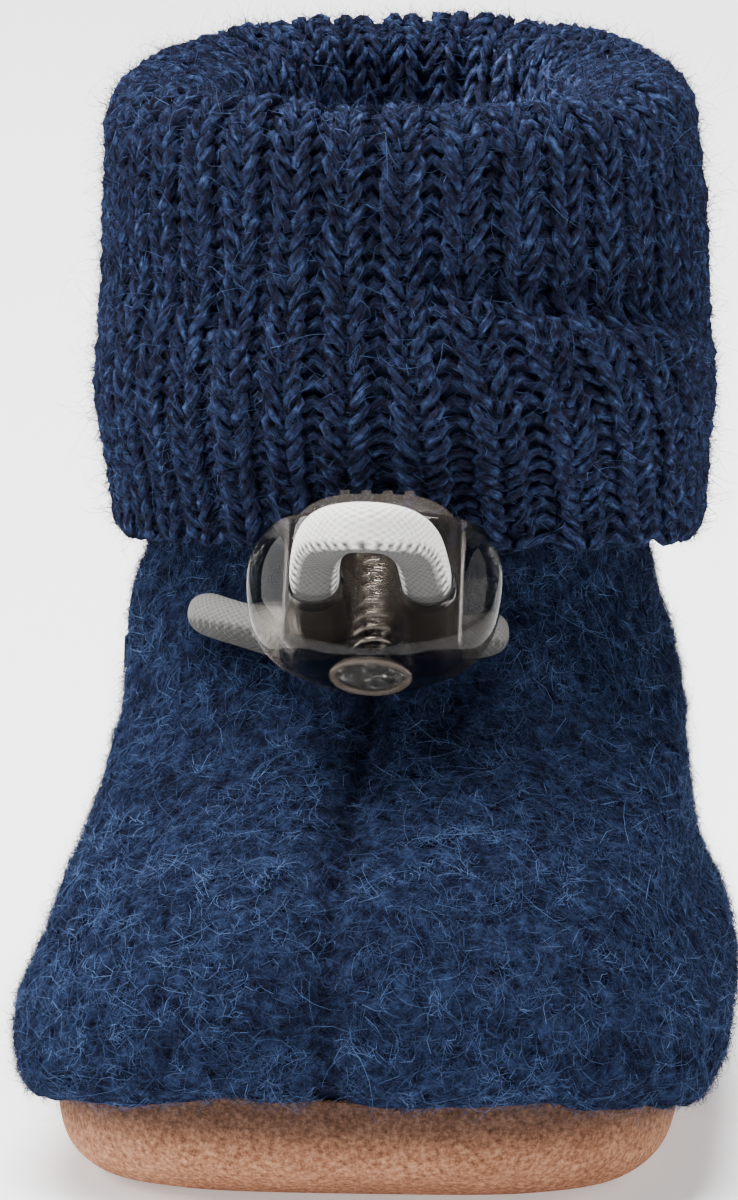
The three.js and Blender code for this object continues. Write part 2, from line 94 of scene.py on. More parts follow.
# Sections round the foot, as in the part's source: places along the shoe in per cent of LENGTH, half widths
# in per cent of BALL_WIDTH, and heights in per cent of the piece's own height
FRONT, FRONT_Z, BACK, BACK_Z, SAG, WIDE, LATERAL, MEDIAL, TOE, HEEL = range(10)


def sections(base, height, rows):
    table = np.array(rows, float)
    table[:, [FRONT, BACK, WIDE]] *= LENGTH / 100
    table[:, [LATERAL, MEDIAL]] *= BALL_WIDTH / 100
    table[:, [FRONT_Z, BACK_Z]] = base + table[:, [FRONT_Z, BACK_Z]] * height / 100
    return table


UPPER = sections(0, COLLAR_HEIGHT, [
    (-46.8, 19, 45.2, 15.7, 2.6, -27.2, 48, 48.3, 2.6, 3),  # lip
    (-50, 23, 48, 20.5, 1.6, -28.8, 49.2, 50.8, 2.6, 3),  # puff
    (-50.8, 31.1, 48.8, 29.5, 0.8, -27.2, 48.9, 51.1, 2.5, 3),  # widest
    (-49.3, 41.8, 48.8, 41.8, 0, -20.8, 44.2, 45.8, 2.4, 2.8),  # toe top
    (-43.4, 53.3, 48.4, 54.1, 0, -11.2, 40.3, 43, 2.3, 2.6),  # vamp
    (-33.4, 63.1, 47.6, 63.9, 0, 0, 39.2, 42.4, 2.1, 2.4),  # waist
    (-23.6, 73, 46.8, 73.8, 0, 9.6, 39.4, 40.6, 2, 2.2),  # instep
    (-16.8, 83.6, 46.1, 83.6, 0, 14.4, 39.4, 37.8, 2, 2),  # throat
    (-13.2, 92.6, 45.2, 91.8, 0, 16, 36.9, 35.8, 2, 2),  # ankle
    (-12, 100, 44.4, 100, 0, 16.8, 34.7, 34.7, 2, 2),  # collar
])
CUFF = sections(COLLAR_HEIGHT, CUFF_RISE, [
    (-15.1, 0, 48.8, -13.3, 1.5, 16, 41.3, 43.9, 2.1, 2.1),  # hem
    (-16.2, 11.1, 49.4, 0, 1, 16, 42, 44.2, 2.2, 2.1),  # over the lock
    (-18.1, 26.5, 49.8, 24.3, 0, 16, 44.2, 45, 2.2, 2.1),  # bulge
    (-17.3, 46.5, 49.3, 46.5, 0, 16, 43.1, 44.3, 2.2, 2.1),  # crease
    (-16.8, 68.6, 48.8, 68.6, 0, 16, 42.5, 43.5, 2.2, 2.1),  # flap
    (-16.5, 90.7, 48.4, 90.7, 0.5, 16, 42, 42.2, 2.2, 2.05),  # shoulder
    (-15.5, 97.3, 47.4, 97.3, 0.8, 16, 39.7, 39.7, 2.15, 2),  # outer roll
    (-13.1, 100, 45.3, 100, 1, 16, 36.8, 36.7, 2.1, 2),  # crest
    (-10.5, 97.3, 42.9, 97.3, 0.8, 16, 30.4, 30.4, 2.05, 2),  # inner roll
    (-9.3, 90.7, 41.6, 90.7, 0.5, 16, 25.2, 25.2, 2, 2),  # mouth
    (-9.5, 64.2, 41.8, 64.2, 0, 16, 24.4, 24.4, 2, 2),  # tube
    (-9.8, 31, 42.2, 31, 0, 16.4, 27.4, 27.4, 2, 2),  # tube low
    (-9.8, 0.9, 42.2, 0.9, 0, 16.8, 30.8, 30.8, 2, 2),  # joining seam
])
SOLE = sections(0, SOLE_WALL, [
    (-39.6, 0, 38.4, 0, 0, -24, 33.6, 33.6, 2.6, 3),  # tread
    (-42.6, 8, 41.4, 8, 0, -24.6, 38.6, 38.8, 2.6, 3),  # turn
    (-44.9, 27, 43.5, 27, 0, -25.2, 41.9, 42.3, 2.6, 3),  # bend
    (-45.9, 55, 44.5, 55, 0, -25.6, 43.3, 43.9, 2.6, 3),  # wall
    (-46.2, 100, 44.8, 83.6, 0, -25.6, 43.6, 44.4, 2.6, 3),  # edge
])
COLLAR_LEVEL = len(UPPER) - 1
CREST_LEVEL = 7
CUFF_END_LEVEL = len(CUFF) - 1
SOLE_EDGE_LEVEL = len(SOLE) - 1

# The lock's body: height, half width and half depth of its sections
BARREL = np.array([
    (-9.2, 5.0, 4.5), (-8.7, 6.6, 5.1), (-7.2, 10.0, 5.7), (-4.2, 12.2, 6.0),
    (0, 13.0, 6.1), (3.5, 12.8, 6.1), (6.0, 11.6, 5.8), (6.8, 10.7, 5.4),
])
BARREL_SQUARENESS = 2.5
SLIDER_SQUARENESS = 4

# The drawcord's route outside the lock, from each hole in the wool to the back of its channel
LATERAL_RUN = [
    (-17.6, -9.2, 52.7), (-18.3, -12.8, 53.3), (-16.9, -16.9, 53.6),
    (-13.4, -20.3, 53.3), (-9.1, -22.1, 52.9),
]
MEDIAL_RUN = [
    (10.9, -11.4, 51.6), (11.3, -14.8, 52.05), (11.6, -18.0, 52.4),
    (10.9, -20.9, 52.6), (9.1, -22.7, 52.8),
]

# From the shoe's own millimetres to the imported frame
barrel_low, barrel_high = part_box("lock_barrel")
SHIFT = np.array([
    (barrel_low[0] + barrel_high[0]) / 2 / MM - LOCK.x,
    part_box("outsole")[0][1] / MM - SOLE[-1, FRONT],
    0,
])


def place(points):
    return (np.asarray(points, float) + SHIFT) * MM


def from_lock(points):
    """Points in the lock's own frame, whose Z runs up its height, as points of the shoe."""
    x, y, z = np.moveaxis(np.asarray(points, float), -1, 0)
    lean = math.radians(LOCK.lean)
    ahead = y * math.cos(lean) + z * math.sin(lean)
    up = z * math.cos(lean) - y * math.sin(lean)
    return np.stack([x + LOCK.x, ahead + LOCK.y, up + LOCK.z], -1)


# Numbers and lines
SEED_STEP = 17.3  # how far apart the noise of one seed and the next is taken


def unit(vectors):
    return vectors / np.maximum(np.linalg.norm(vectors, axis=-1, keepdims=True), 1e-9)


def share(low, high, value, most=1):
    """How far a value has come from low to high."""
    return np.clip((value - low) / (high - low), 0, most)


def smoothstep(low, high, value):
    part = share(low, high, value)
    return part * part * (3 - 2 * part)


def fade(edge, value):
    """1 before a soft edge, and 0 after it."""
    return 1 - smoothstep(*edge, value)


def window(rise, fall, value):
    """1 between two soft edges, each given by where it begins and ends."""
    return smoothstep(*rise, value) * fade(fall, value)


def bell(offset, width):
    return np.exp(-(offset / width) ** 2)


def lumps(points, size, seed):
    """Smooth noise from -1 to 1 with lumps of about that size."""
    flat = points.reshape(-1, 3) / size + seed * SEED_STEP
    return np.array([noise.noise(Vector(p)) for p in flat]).reshape(points.shape[:-1])


def lumpy(points, rows):
    """Lumps of several sizes together. A row gives their height, size and seed."""
    return sum(height * lumps(points, size, seed) for height, size, seed in rows)


def curve_through(a, b, c, d, f):
    """The point at share f from b to c, on a smooth curve that also passes a and d."""
    return b + 0.5 * f * (c - a + f * (2 * a - 5 * b + 4 * c - d + f * (3 * (b - c) + d - a)))


def lengths_along(line, power=1):
    steps = np.linalg.norm(np.diff(line, axis=0), axis=-1) ** power
    return np.concatenate([[0], np.cumsum(steps)])


def at_lengths(line, lengths, along):
    return np.stack([np.interp(along, lengths, column) for column in line.T], -1)


# Surfaces from the sections
OUTLINE_STEPS = 480


def sections_at(table, levels):
    """Sections between the table's rows, on a smooth curve through them."""
    levels = np.asarray(levels, float)
    last = len(table) - 1
    i = np.minimum(np.floor(levels).astype(int), last - 1)
    rows = (table[np.clip(i + k, 0, last)] for k in (-1, 0, 1, 2))
    return curve_through(*rows, (levels - i)[:, None])


def half_outlines(rows, side):
    """One half of each section, from the front centre to the back centre."""
    angle = np.linspace(0, math.pi, OUTLINE_STEPS + 1)
    ahead, out = np.cos(angle), np.sin(angle)
    front, front_z, back, back_z, sag, wide, lateral, medial, toe, heel = rows.T[..., None]
    power = 2 / np.where(ahead > 0, toe, heel)
    reach = np.where(ahead > 0, front, back) - wide
    x = side * (medial if side > 0 else lateral) * np.abs(out) ** power
    y = wide + reach * np.abs(ahead) ** power
    z = front_z + (back_z - front_z) * (y - front) / (back - front) - sag * out * out
    return np.stack([x, y, z], -1)


def rings(table, levels, turns):
    """Grid of points: a ring for each level, at turns from 0 (front) by 0.25 (medial) and 0.5 (heel) to 1."""
    rows = sections_at(table, levels)
    medial = turns <= 0.5
    shares = np.where(medial, 2 * turns, 2 - 2 * turns)
    points = np.empty((len(rows), len(turns), 3))
    for side, mask in ((1, medial), (-1, ~medial)):
        for ring, half in zip(points, half_outlines(rows, side)):
            lengths = lengths_along(half)
            ring[mask] = at_lengths(half, lengths, shares[mask] * lengths[-1])
    return points


def grid_normals(grid):
    around = np.roll(grid, -1, 1) - np.roll(grid, 1, 1)
    return unit(np.cross(around, np.gradient(grid, axis=0)))


def sample(grid, row, turn):
    """Values of a grid between its rows and columns, closed round the turns."""
    rows, columns = grid.shape[:2]
    r = np.clip(row, 0, rows - 1.001)  # just short of the last row
    i = r.astype(int)
    f = (r - i)[..., None]
    c = (turn % 1) * columns
    j = c.astype(int) % columns
    g = (c - np.floor(c))[..., None]
    k = (j + 1) % columns
    low = grid[i, j] * (1 - g) + grid[i, k] * g
    high = grid[i + 1, j] * (1 - g) + grid[i + 1, k] * g
    return low * (1 - f) + high * f


def even_turns(count):
    return np.arange(count) / count


def grown(ring, distance):
    around = np.roll(ring, -1, 0) - np.roll(ring, 1, 0)
    out = np.stack([around[:, 1], -around[:, 0], np.zeros(len(ring))], -1)
    return ring + distance * unit(out)


# Meshes from arrays
SWEEP_START = (0.31, 0.87, 0.38)  # a direction that no tube starts along
STRIP_EDGE = 0.02  # bare share of a tube's strip in the map for baking


def add(name, data):
    made = bpy.data.objects.new(name, data)
    bpy.context.scene.collection.objects.link(made)
    return made


def add_mesh(name, points, faces):
    mesh = bpy.data.meshes.new(name)
    mesh.from_pydata(np.asarray(points).reshape(-1, 3).tolist(), [], faces)
    mesh.polygons.foreach_set("use_smooth", np.ones(len(mesh.polygons), bool))
    return add(name, mesh)


def make_mesh(name, points, faces, material, node=None, uvs=None, tint=None):
    """A smooth piece of the shoe, which may replace a node. uvs has a place for every face corner."""
    piece = add_mesh(name, place(points), faces)
    mesh = piece.data
    for uv_name, corners in (uvs or {}).items():
        layer = mesh.uv_layers.new(name=uv_name)
        layer.data.foreach_set("uv", corners.astype(np.float32).ravel())
    if tint is not None:
        shade = mesh.attributes.new("tint", "FLOAT", "POINT")
        shade.data.foreach_set("value", tint.astype(np.float32).ravel())
    mesh.materials.append(material)
    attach(piece, "shoe")
    if node:
        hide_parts(node)
    return piece


def grid_faces(rows, columns, wrapped=False, copies=1):
    """Quads of grids, closed round their columns and, if wrapped, from last row to first."""
    r, c = np.meshgrid(np.arange(rows if wrapped else rows - 1), np.arange(columns), indexing="ij")
    here, above = r * columns, (r + 1) % rows * columns
    d = (c + 1) % columns
    quads = np.stack([here + c, here + d, above + d, above + c], -1).reshape(-1, 4)
    starts = np.arange(copies)[:, None, None] * rows * columns
    return (starts + quads).reshape(-1, 4).tolist()


def capped_faces(rows, columns):
    """A closed grid's quads, and a flat face over each of its ends."""
    last = (rows - 1) * columns
    ends = [list(range(columns))[::-1], list(range(last, last + columns))]
    return grid_faces(rows, columns) + ends


def laced_faces(rows, columns):
    """A closed grid's quads, and quads laced across each of its ends."""
    c = np.arange(columns // 2)
    quads = np.stack([c, c + 1, columns - c - 1, (columns - c) % columns], -1).tolist()
    laced = [list(dict.fromkeys(quad)) for quad in quads]
    low = [quad[::-1] for quad in laced if len(quad) > 2]
    last = (rows - 1) * columns
    high = [[last + i for i in quad] for quad in laced if len(quad) > 2]
    return grid_faces(rows, columns) + low + high


def sweep(paths, radius, sides, closed):
    """Tubes round paths: their points (paths, points, sides, 3) and outward directions."""
    if closed:
        ahead = np.roll(paths, -1, 1) - np.roll(paths, 1, 1)
    else:
        ahead = np.gradient(paths, axis=1)
    tangent = unit(ahead)
    count = paths.shape[1]
    side = np.empty_like(paths)
    side[:, 0] = unit(np.cross(tangent[:, 0], SWEEP_START))

    def carried(previous, k):
        return unit(previous - tangent[:, k] * np.sum(previous * tangent[:, k], -1, keepdims=True))

    for k in range(1, count):
        side[:, k] = carried(side[:, k - 1], k)
    up = np.cross(tangent, side)
    twist = np.zeros(len(paths))
    if closed:
        back = carried(side[:, -1], 0)
        twist = -np.arctan2(np.sum(back * up[:, 0], -1), np.sum(back * side[:, 0], -1))
    untwist = (twist[:, None] * np.arange(count) / count)[..., None]
    angle = 2 * math.pi * even_turns(sides) + untwist
    out = np.cos(angle)[..., None] * side[:, :, None] + np.sin(angle)[..., None] * up[:, :, None]
    return paths[:, :, None] + np.asarray(radius)[..., None, None] * out, out


def tube_uvs(along, sides):
    """Corner UVs of tubes: length and share of the way round, and for baking a strip for each tube."""
    tubes, segments = along.shape[0], along.shape[1] - 1
    t, k, s = np.meshgrid(np.arange(tubes), np.arange(segments), np.arange(sides), indexing="ij")
    v0, v1 = s / sides, (s + 1) / sides
    strip = [(t + STRIP_EDGE + (1 - 2 * STRIP_EDGE) * v) / tubes for v in (v0, v1)]

    def corners(u0, u1, v0, v1):
        return np.stack([u0, v0, u0, v1, u1, v1, u1, v0], -1).reshape(-1, 2)

    return {
        "Yarn": corners(along[t, k], along[t, k + 1], v0, v1),
        "OFBake": corners(k / segments, (k + 1) / segments, *strip),
    }


# Materials
class Finish:
    """A node material round one principled shader, whose own sockets are set by name."""

    def __init__(self, name, roughness, **sockets):
        self.material = bpy.data.materials.new(name)
        self.material.use_nodes = True
        self.tree = self.material.node_tree
        self.inputs = self.tree.nodes["Principled BSDF"].inputs
        self.inputs["Roughness"].default_value = roughness
        for key, value in sockets.items():
            self.inputs[key.replace("_", " ")].default_value = value

    def feed(self, socket, value):
        """Links another node's output to a socket, or sets the socket's own value."""
        if isinstance(value, bpy.types.NodeSocket):
            self.tree.links.new(value, socket)
        else:
            socket.default_value = value

    def node(self, kind, inputs=None, output=0, **settings):
        """One output of a new node."""
        made = self.tree.nodes.new("ShaderNode" + kind)
        for key, value in settings.items():
            setattr(made, key, value)
        for key, value in (inputs or {}).items():
            self.feed(made.inputs[key], value)
        return made.outputs[output]

    def position(self):
        return self.node("TexCoord", output="Object")

    def tint(self):
        return self.node("Attribute", output="Fac", attribute_name="tint")

    def noise(self, scale, detail, roughness, vector=None):
        """Noise over the object's own space in metres, or over another vector."""
        inputs = {"Scale": scale, "Detail": detail, "Roughness": roughness}
        inputs["Vector"] = self.position() if vector is None else vector
        return self.node("TexNoise", inputs, "Fac")

    def ramp(self, factor, places, colours):
        colour = self.node("ValToRGB", {"Fac": factor}, "Color")
        elements = colour.node.color_ramp.elements
        while len(elements) < len(places):
            elements.new(0.5)
        for element, position, rgb in zip(elements, places, colours):
            element.position = position
            element.color = (*rgb, 1)
        return colour

    def mix(self, factor, first, second, blend="MIX"):
        inputs = {0: factor, 6: first, 7: second}
        return self.node("Mix", inputs, 2, data_type="RGBA", blend_type=blend)

    def average(self, first, second):
        both = self.node("Math", {0: first, 1: second}, operation="ADD")
        return self.node("Math", {0: both, 1: 0.5}, operation="MULTIPLY")

    def coloured(self, colour, height=None, depth=0):
        """The material, with that bump in metres where there is a height."""
        self.feed(self.inputs["Base Color"], colour)
        if height is not None:
            relief = {"Height": height, "Distance": depth, "Strength": 1}
            self.feed(self.inputs["Normal"], self.node("Bump", relief))
        return self.material


# Colours of the wool, from the dark between its fibres to its palest loose hairs
WOOL = [(0.004, 0.0042, 0.0085), (0.012, 0.0165, 0.0395), (0.028, 0.045, 0.106), (0.078, 0.13, 0.262)]
KNIT_WOOL = [(0.0058, 0.0055, 0.0085), (0.0112, 0.0125, 0.026), (0.022, 0.033, 0.08), (0.062, 0.104, 0.224)]
FIBRE_PLACES = (0, 0.35, 0.65, 1)  # where a fibre's tint reaches each of them
YARN_PLACES = (0.36, 0.47, 0.57, 0.7)
INSIDE_PAINTED_LIGHT = 3.2  # painted light: how much brighter the yarn inside the cuff is, where the rim shades it
WHITE = (1, 1, 1)


def grained(name, roughness, grain, places, colours, depth=0, **sockets):
    """A material coloured by one noise, which also raises it where there is a depth in metres."""
    finish = Finish(name, roughness, **sockets)
    shade = finish.noise(*grain)
    return finish.coloured(finish.ramp(shade, places, colours), shade if depth else None, depth)


def felt_material():
    return grained("wool_felt", 0.95, (560, 6, 0.72), (0.36, 0.5, 0.66), WOOL, 0.002, Specular_IOR_Level=0)


def fibre_material(name, colours):
    fibre = Finish(name, 0.8, Specular_IOR_Level=0.03)
    return fibre.coloured(fibre.ramp(fibre.tint(), FIBRE_PLACES, colours))


def yarn_material():
    """Loosely spun wool: fine fibres along the yarn, and flecks of lighter and darker blue."""
    yarn = Finish("rib_yarn", 0.9, Specular_IOR_Level=0)
    uv = yarn.node("UVMap", uv_map="Yarn")
    twist = yarn.node("Mapping", {"Vector": uv, "Rotation": (0, 0, 0.5), "Scale": (0.55, 7, 1)})
    strands = yarn.noise(1, 3, 0.6, twist)
    shade = yarn.average(strands, yarn.noise(900, 3, 0.6))
    dimmer = yarn.ramp(shade, YARN_PLACES, KNIT_WOOL)
    # painted light: the yarn inside the cuff, where the tint is 1, is brightened
    painted_light_inside = yarn.ramp(shade, YARN_PLACES, INSIDE_PAINTED_LIGHT * np.array(KNIT_WOOL))
    return yarn.coloured(yarn.mix(yarn.tint(), dimmer, painted_light_inside), strands, 0.0004)


def backing_material():
    """The knit's ground between its stitches, with painted light making it lighter inside the cuff."""
    ground = Finish("knit_backing", 1, Specular_IOR_Level=0)
    shade = ground.noise(900, 3, 0.6)
    outer = ground.ramp(shade, (0.3, 0.7), KNIT_WOOL[0::2])
    inner = ground.ramp(shade, (0.3, 0.7), KNIT_WOOL[2:])
    return ground.coloured(ground.mix(ground.tint(), outer, inner))


def suede_material():
    """Tan suede, in broad patches, and darkened by painted shade towards its upper edge, under the wool's
    lip.
    """
    sheen = {"Sheen_Weight": 0.06, "Sheen_Roughness": 0.5, "Sheen_Tint": (1, 0.8, 0.65, 1)}
    suede = Finish("suede", 0.95, Specular_IOR_Level=0.15, **sheen)
    nap = suede.noise(1700, 5, 0.75)
    tans = [(0.17, 0.064, 0.028), (0.55, 0.25, 0.135), (0.95, 0.52, 0.31)]
    fine = suede.ramp(nap, (0.32, 0.5, 0.68), tans)
    broad = suede.ramp(suede.noise(160, 3, 0.55), (0.3, 0.7), [(0.80, 0.74, 0.70), WHITE])
    # painted shade: the suede darkens with height towards the wool's lip above it
    height = suede.node("SeparateXYZ", {"Vector": suede.position()}, "Z")
    shade_by_height = suede.node("MapRange", {"Value": height, "From Min": 0.003, "From Max": 0.0105})
    greys = [WHITE, (0.70, 0.69, 0.69), (0.22, 0.23, 0.26), (0.16, 0.17, 0.2)]
    dimmer = suede.ramp(shade_by_height, (0, 0.36, 0.8, 1), greys)
    patched = suede.mix(1, fine, broad, "MULTIPLY")
    return suede.coloured(suede.mix(1, patched, dimmer, "MULTIPLY"), nap, 0.0005)


def footbed_material():
    greys = [(0.05, 0.05, 0.06), (0.13, 0.13, 0.15)]
    return grained("footbed_felt", 0.95, (900, 4, 0.7), (0.3, 0.7), greys, 0.0006)


def elastic_material():
    """Fine knitted elastic: small dimples in rows round the cord."""
    elastic = Finish("elastic_cord", 0.85, Specular_IOR_Level=0.2)
    uv = elastic.node("UVMap", uv_map="Yarn")
    turns = (2 * math.pi / CORD_ROW, 2 * math.pi * CORD_WALES, 0)
    angles = elastic.node("VectorMath", {0: uv, 1: turns}, operation="MULTIPLY")
    waves = elastic.node("VectorMath", {0: angles}, operation="SINE")
    rows, wales = (elastic.node("SeparateXYZ", {"Vector": waves}, axis) for axis in "XY")
    cells = elastic.node("Math", {0: rows, 1: wales}, operation="MULTIPLY")
    knit = elastic.node("MapRange", {"Value": cells, "From Min": -1})
    grain = elastic.average(knit, elastic.noise(5200, 2, 0.5))
    whites = [(0.44, 0.43, 0.40), (0.68, 0.67, 0.635), (0.80, 0.79, 0.75)]
    tone = elastic.ramp(grain, (0.2, 0.45, 0.7), whites)
    # the tint darkens the cord: its dark stitches, and painted shade on its underside, its runs and inside
    # the lock
    dark = elastic.ramp(elastic.tint(), (0, 1), [WHITE, (0.068, 0.068, 0.07)])
    return elastic.coloured(elastic.mix(1, tone, dark, "MULTIPLY"), grain, 0.0002)


def smoke_material(name, dark, light, bending, alpha):
    """Smoke-clear moulded plastic, faintly streaked, which dims what is seen through it."""
    clear = {"Transmission_Weight": bending, "Alpha": alpha, "IOR": 1.13}
    gloss = {"Coat_Weight": 0.35, "Coat_Roughness": 0.03}
    return grained(name, 0.04, (260, 3, 0.6), (0.3, 0.7), [dark, light], **clear, **gloss)


def frost_material():
    """Cloudy plastic, whiter in patches."""
    greys = [(0.03, 0.027, 0.025), (0.12, 0.115, 0.11), (0.6, 0.6, 0.59)]
    return grained("frosted_plastic", 0.5, (900, 4, 0.7), (0.45, 0.6, 0.7), greys, Alpha=0.5)


def steel_material():
    steel = Finish("spring_steel", 0.3, Metallic=1)
    drawn = steel.node("MapRange", {"Value": steel.noise(2500, 2, 0.5), "To Min": 0.15, "To Max": 0.3})
    steel.feed(steel.inputs["Roughness"], drawn)
    return steel.coloured((0.9, 0.88, 0.84, 1))


def label_material():
    """Plain woven tape: fine warp ribs."""
    tape = Finish("label_cloth", 0.9, Specular_IOR_Level=0.05)
    ribs = tape.node("TexWave", {"Vector": tape.position(), "Scale": 900, "Distortion": 0.5}, "Fac")
    blues = [(0.004, 0.006, 0.014), (0.012, 0.016, 0.034)]
    return tape.coloured(tape.ramp(ribs, (0, 1), blues), ribs, 0.0001)


# Camera: the photograph's viewing angle, from far away with a long lens
VIEW = Sizes(azimuth=4.0, elevation=10.3, distance=1200, aim=(0, 0, 55))
PIXELS_PER_MM = 9.62  # at the aim
FRAME_HEIGHT = 1200
AIM_FROM_CENTRE = (20, 25)  # in pixels, to the right and up
SENSOR = 36


def turn_to(looker, target):
    looker.rotation_euler = (Vector(target) - looker.location).to_track_quat("-Z", "Y").to_euler()


def make_camera():
    turn, rise = math.radians(VIEW.azimuth), math.radians(VIEW.elevation)
    back = np.array([math.sin(turn) * math.cos(rise), -math.cos(turn) * math.cos(rise), math.sin(rise)])
    right = np.array([math.cos(turn), math.sin(turn), 0])
    up = np.cross(back, right)
    aim = np.array(VIEW.aim, float)
    target = aim - (AIM_FROM_CENTRE[0] * right + AIM_FROM_CENTRE[1] * up) / PIXELS_PER_MM
    camera = add("camera", bpy.data.cameras.new("camera"))
    camera.data.sensor_fit = "VERTICAL"
    camera.data.sensor_height = SENSOR
    camera.data.lens = PIXELS_PER_MM * VIEW.distance / FRAME_HEIGHT * SENSOR
    camera.location = place(aim + back * VIEW.distance)
    turn_to(camera, place(target))
    bpy.context.scene.camera = camera


# Drawcord
CORD_RINGS = 500
CORD_SIDES = 36
CORD_ROW = 0.72  # length of two knitted rows
CORD_WALES = 23  # pairs of knitted columns round the cord
CORD_SQUARENESS = 2.5
CURVE_STEPS = 40  # from each point of its route to the next
CORD_TIP = 0.55  # how much narrower it is where the wool grips it
CORD_GRIP = (0, 8)  # from the hole
CORD_RUN_SQUEEZE = 0.16  # how much narrower it is behind the lock, where it is stretched
CORD_STRETCH = (12, 18)  # from the hole
LOOP_ROLL = 36  # degrees forward, at the loop's tip
LOOP_ROLL_FADE = (1, 9)
SHADED_PLAIN_SIDE = (0.62, 0.78)  # how far down its round the knit turns plain, and greyer with painted shade
DOTS = Sizes(spacing=0.95, length=0.26, down=0.55, width=0.12)  # dark stitches along its edge
SHADED_RUN = (14, 20)  # from the hole
SHADED_IN_LOCK = ((13, 15), (25, 27))  # from the loop's tip; painted shade darkens the cord there
# how much darker the cord is: painted shade on its plain underside and on its run, and its dark stitches
CORD_DOTS_AND_SHADE = Sizes(plain=0.95, dots=1.6, run=0.88)


def smooth_curve(points, count):
    """A centripetal curve through the points, at even steps of its length."""
    points = np.asarray(points, float)
    padded = np.concatenate([[2 * points[0] - points[1]], points, [2 * points[-1] - points[-2]]])
    knots = lengths_along(padded, 0.5)

    def blend(pair, low, high, at):
        return (high - at) / (high - low) * pair[0] + (at - low) / (high - low) * pair[1]

    fine = []
    for i in range(1, len(padded) - 2):
        p, t = padded[i - 1:i + 3], knots[i - 1:i + 3]
        at = np.linspace(t[1], t[2], CURVE_STEPS, endpoint=False)[:, None]
        a = [blend(p[k:k + 2], t[k], t[k + 1], at) for k in range(3)]
        b = [blend(a[k:k + 2], t[k], t[k + 2], at) for k in range(2)]
        fine.append(blend(b, t[1], t[2], at))
    fine = np.concatenate([*fine, points[-1:]])
    lengths = lengths_along(fine)
    return at_lengths(fine, lengths, np.linspace(0, lengths[-1], count)), lengths[-1]


def cord_route():
    offset, z = CHANNEL.offset, CHANNEL.z
    depths = [LOCK_RUN, LOCK_RUN / 2, 0, -LOCK_RUN / 2, -LOCK_RUN]

    def leg(side):
        return [(side * offset, y, z) for y in depths]

    loop = []
    for turn in LOOP_TURNS:
        angle = math.radians(turn)
        reach = math.sin(angle) ** LOOP_POINT
        y = -(LOCK_RUN + (LOOP_REACH - LOCK_RUN) * reach)
        loop.append((-offset * math.cos(angle), y, z + LOOP_ARCH * math.sin(math.pi * reach)))
    middle = from_lock([*leg(-1), *loop, *leg(1)[::-1]])
    return np.concatenate([LATERAL_RUN, middle, MEDIAL_RUN[::-1]])


def cord_underside(from_tip):
    """The direction of the cord's underside, which rolls forward at the loop's tip."""
    roll = math.radians(LOOP_ROLL) * fade(LOOP_ROLL_FADE, from_tip)
    middle, back, top = from_lock([(0, 0, 0), (0, 1, 0), (0, 0, 1)])
    return np.sin(roll) * (back - middle) - np.cos(roll) * (top - middle)


def make_cord():
    """Squarish elastic: knitted outside, plainer below, with a row of dark stitches between; painted shade
    makes it greyer below, behind the lock and inside it.
    """
    path, length = smooth_curve(cord_route(), CORD_RINGS)
    _, out = sweep(path[None], CORD / 2, CORD_SIDES, False)
    along = np.linspace(0, length, CORD_RINGS)[None, :, None]
    from_hole = np.minimum(along, length - along)
    from_tip = np.abs(along - along[0, np.argmin(path[:, 1])])
    down = np.sum(out * cord_underside(from_tip[0])[None, :, None], -1)
    level = np.sqrt(np.maximum(1 - down ** 2, 0))
    square = (np.abs(down) ** CORD_SQUARENESS + level ** CORD_SQUARENESS) ** (-1 / CORD_SQUARENESS)
    gripped = CORD_TIP * fade(CORD_GRIP, from_hole)
    stretched = CORD_RUN_SQUEEZE * fade(CORD_STRETCH, from_hole)
    radius = CORD / 2 * square * (1 - gripped - stretched)
    points = path[None, :, None] + out * radius[..., None]
    dots = bell(along / DOTS.spacing % 1 - 0.5, DOTS.length) * bell(down - DOTS.down, DOTS.width)
    # painted shade on the underside, the shaded runs and the part inside the lock; the dots are dark stitches
    dark = CORD_DOTS_AND_SHADE.plain * smoothstep(*SHADED_PLAIN_SIDE, down) + CORD_DOTS_AND_SHADE.dots * dots
    dark = dark + CORD_DOTS_AND_SHADE.run * fade(SHADED_RUN, from_hole) + window(*SHADED_IN_LOCK, from_tip)
    tint = np.clip(dark, 0, 1)
    uvs = tube_uvs(along[..., 0], CORD_SIDES)
    faces = grid_faces(CORD_RINGS, CORD_SIDES)
    material = elastic_material()
    cord = make_mesh("drawcord_elastic", points, faces, material, "drawcord", uvs, tint)


# Felted upper
UPPER_COLUMNS = 250
UPPER_ROWS = 90
LINING_ROWS = 24
LINING_END_LEVEL = 1.7
NAP_DEPTH = 0.35  # the wool's body lies this far under its nap
SEAM = Sizes(depth=1, half_width=2.4, drift=-2, drift_from=-25, drift_to=-60)
SEAM_PINCH = Sizes(depth=1.1, half_width=0.8)
SEAM_FADE = (-5, 15)
EDGE_WAVE = 0.7  # of its lower edge, up and down
EDGE_LEVELS = (0, 1.6)
# Height, size and seed of the lumps of the wool, and of its lower edge
WOOL_LUMPS = [(0.45, 7, 1), (0.3, 2.6, 2)]
EDGE_LUMPS = [(1, 9, 3), (0.5, 3.5, 4)]
# Soft folds of the wool, from one place to another (across and up), with width and height
FOLDS = [
    ((9, 47), (23, 37), 4.0, -1.3),
    ((13, 40), (26, 30), 5.5, 0.9),
    ((-10, 44), (-22, 37), 4.0, -1.0),
    ((-14, 33), (-26, 25), 5.0, 0.5),
    ((-31, 35), (-31, 29), 4.5, 0.8),
    ((31, 40), (31, 35), 4.5, 0.5),
]
FOLD_FADE = (15, 30)  # how far back they go
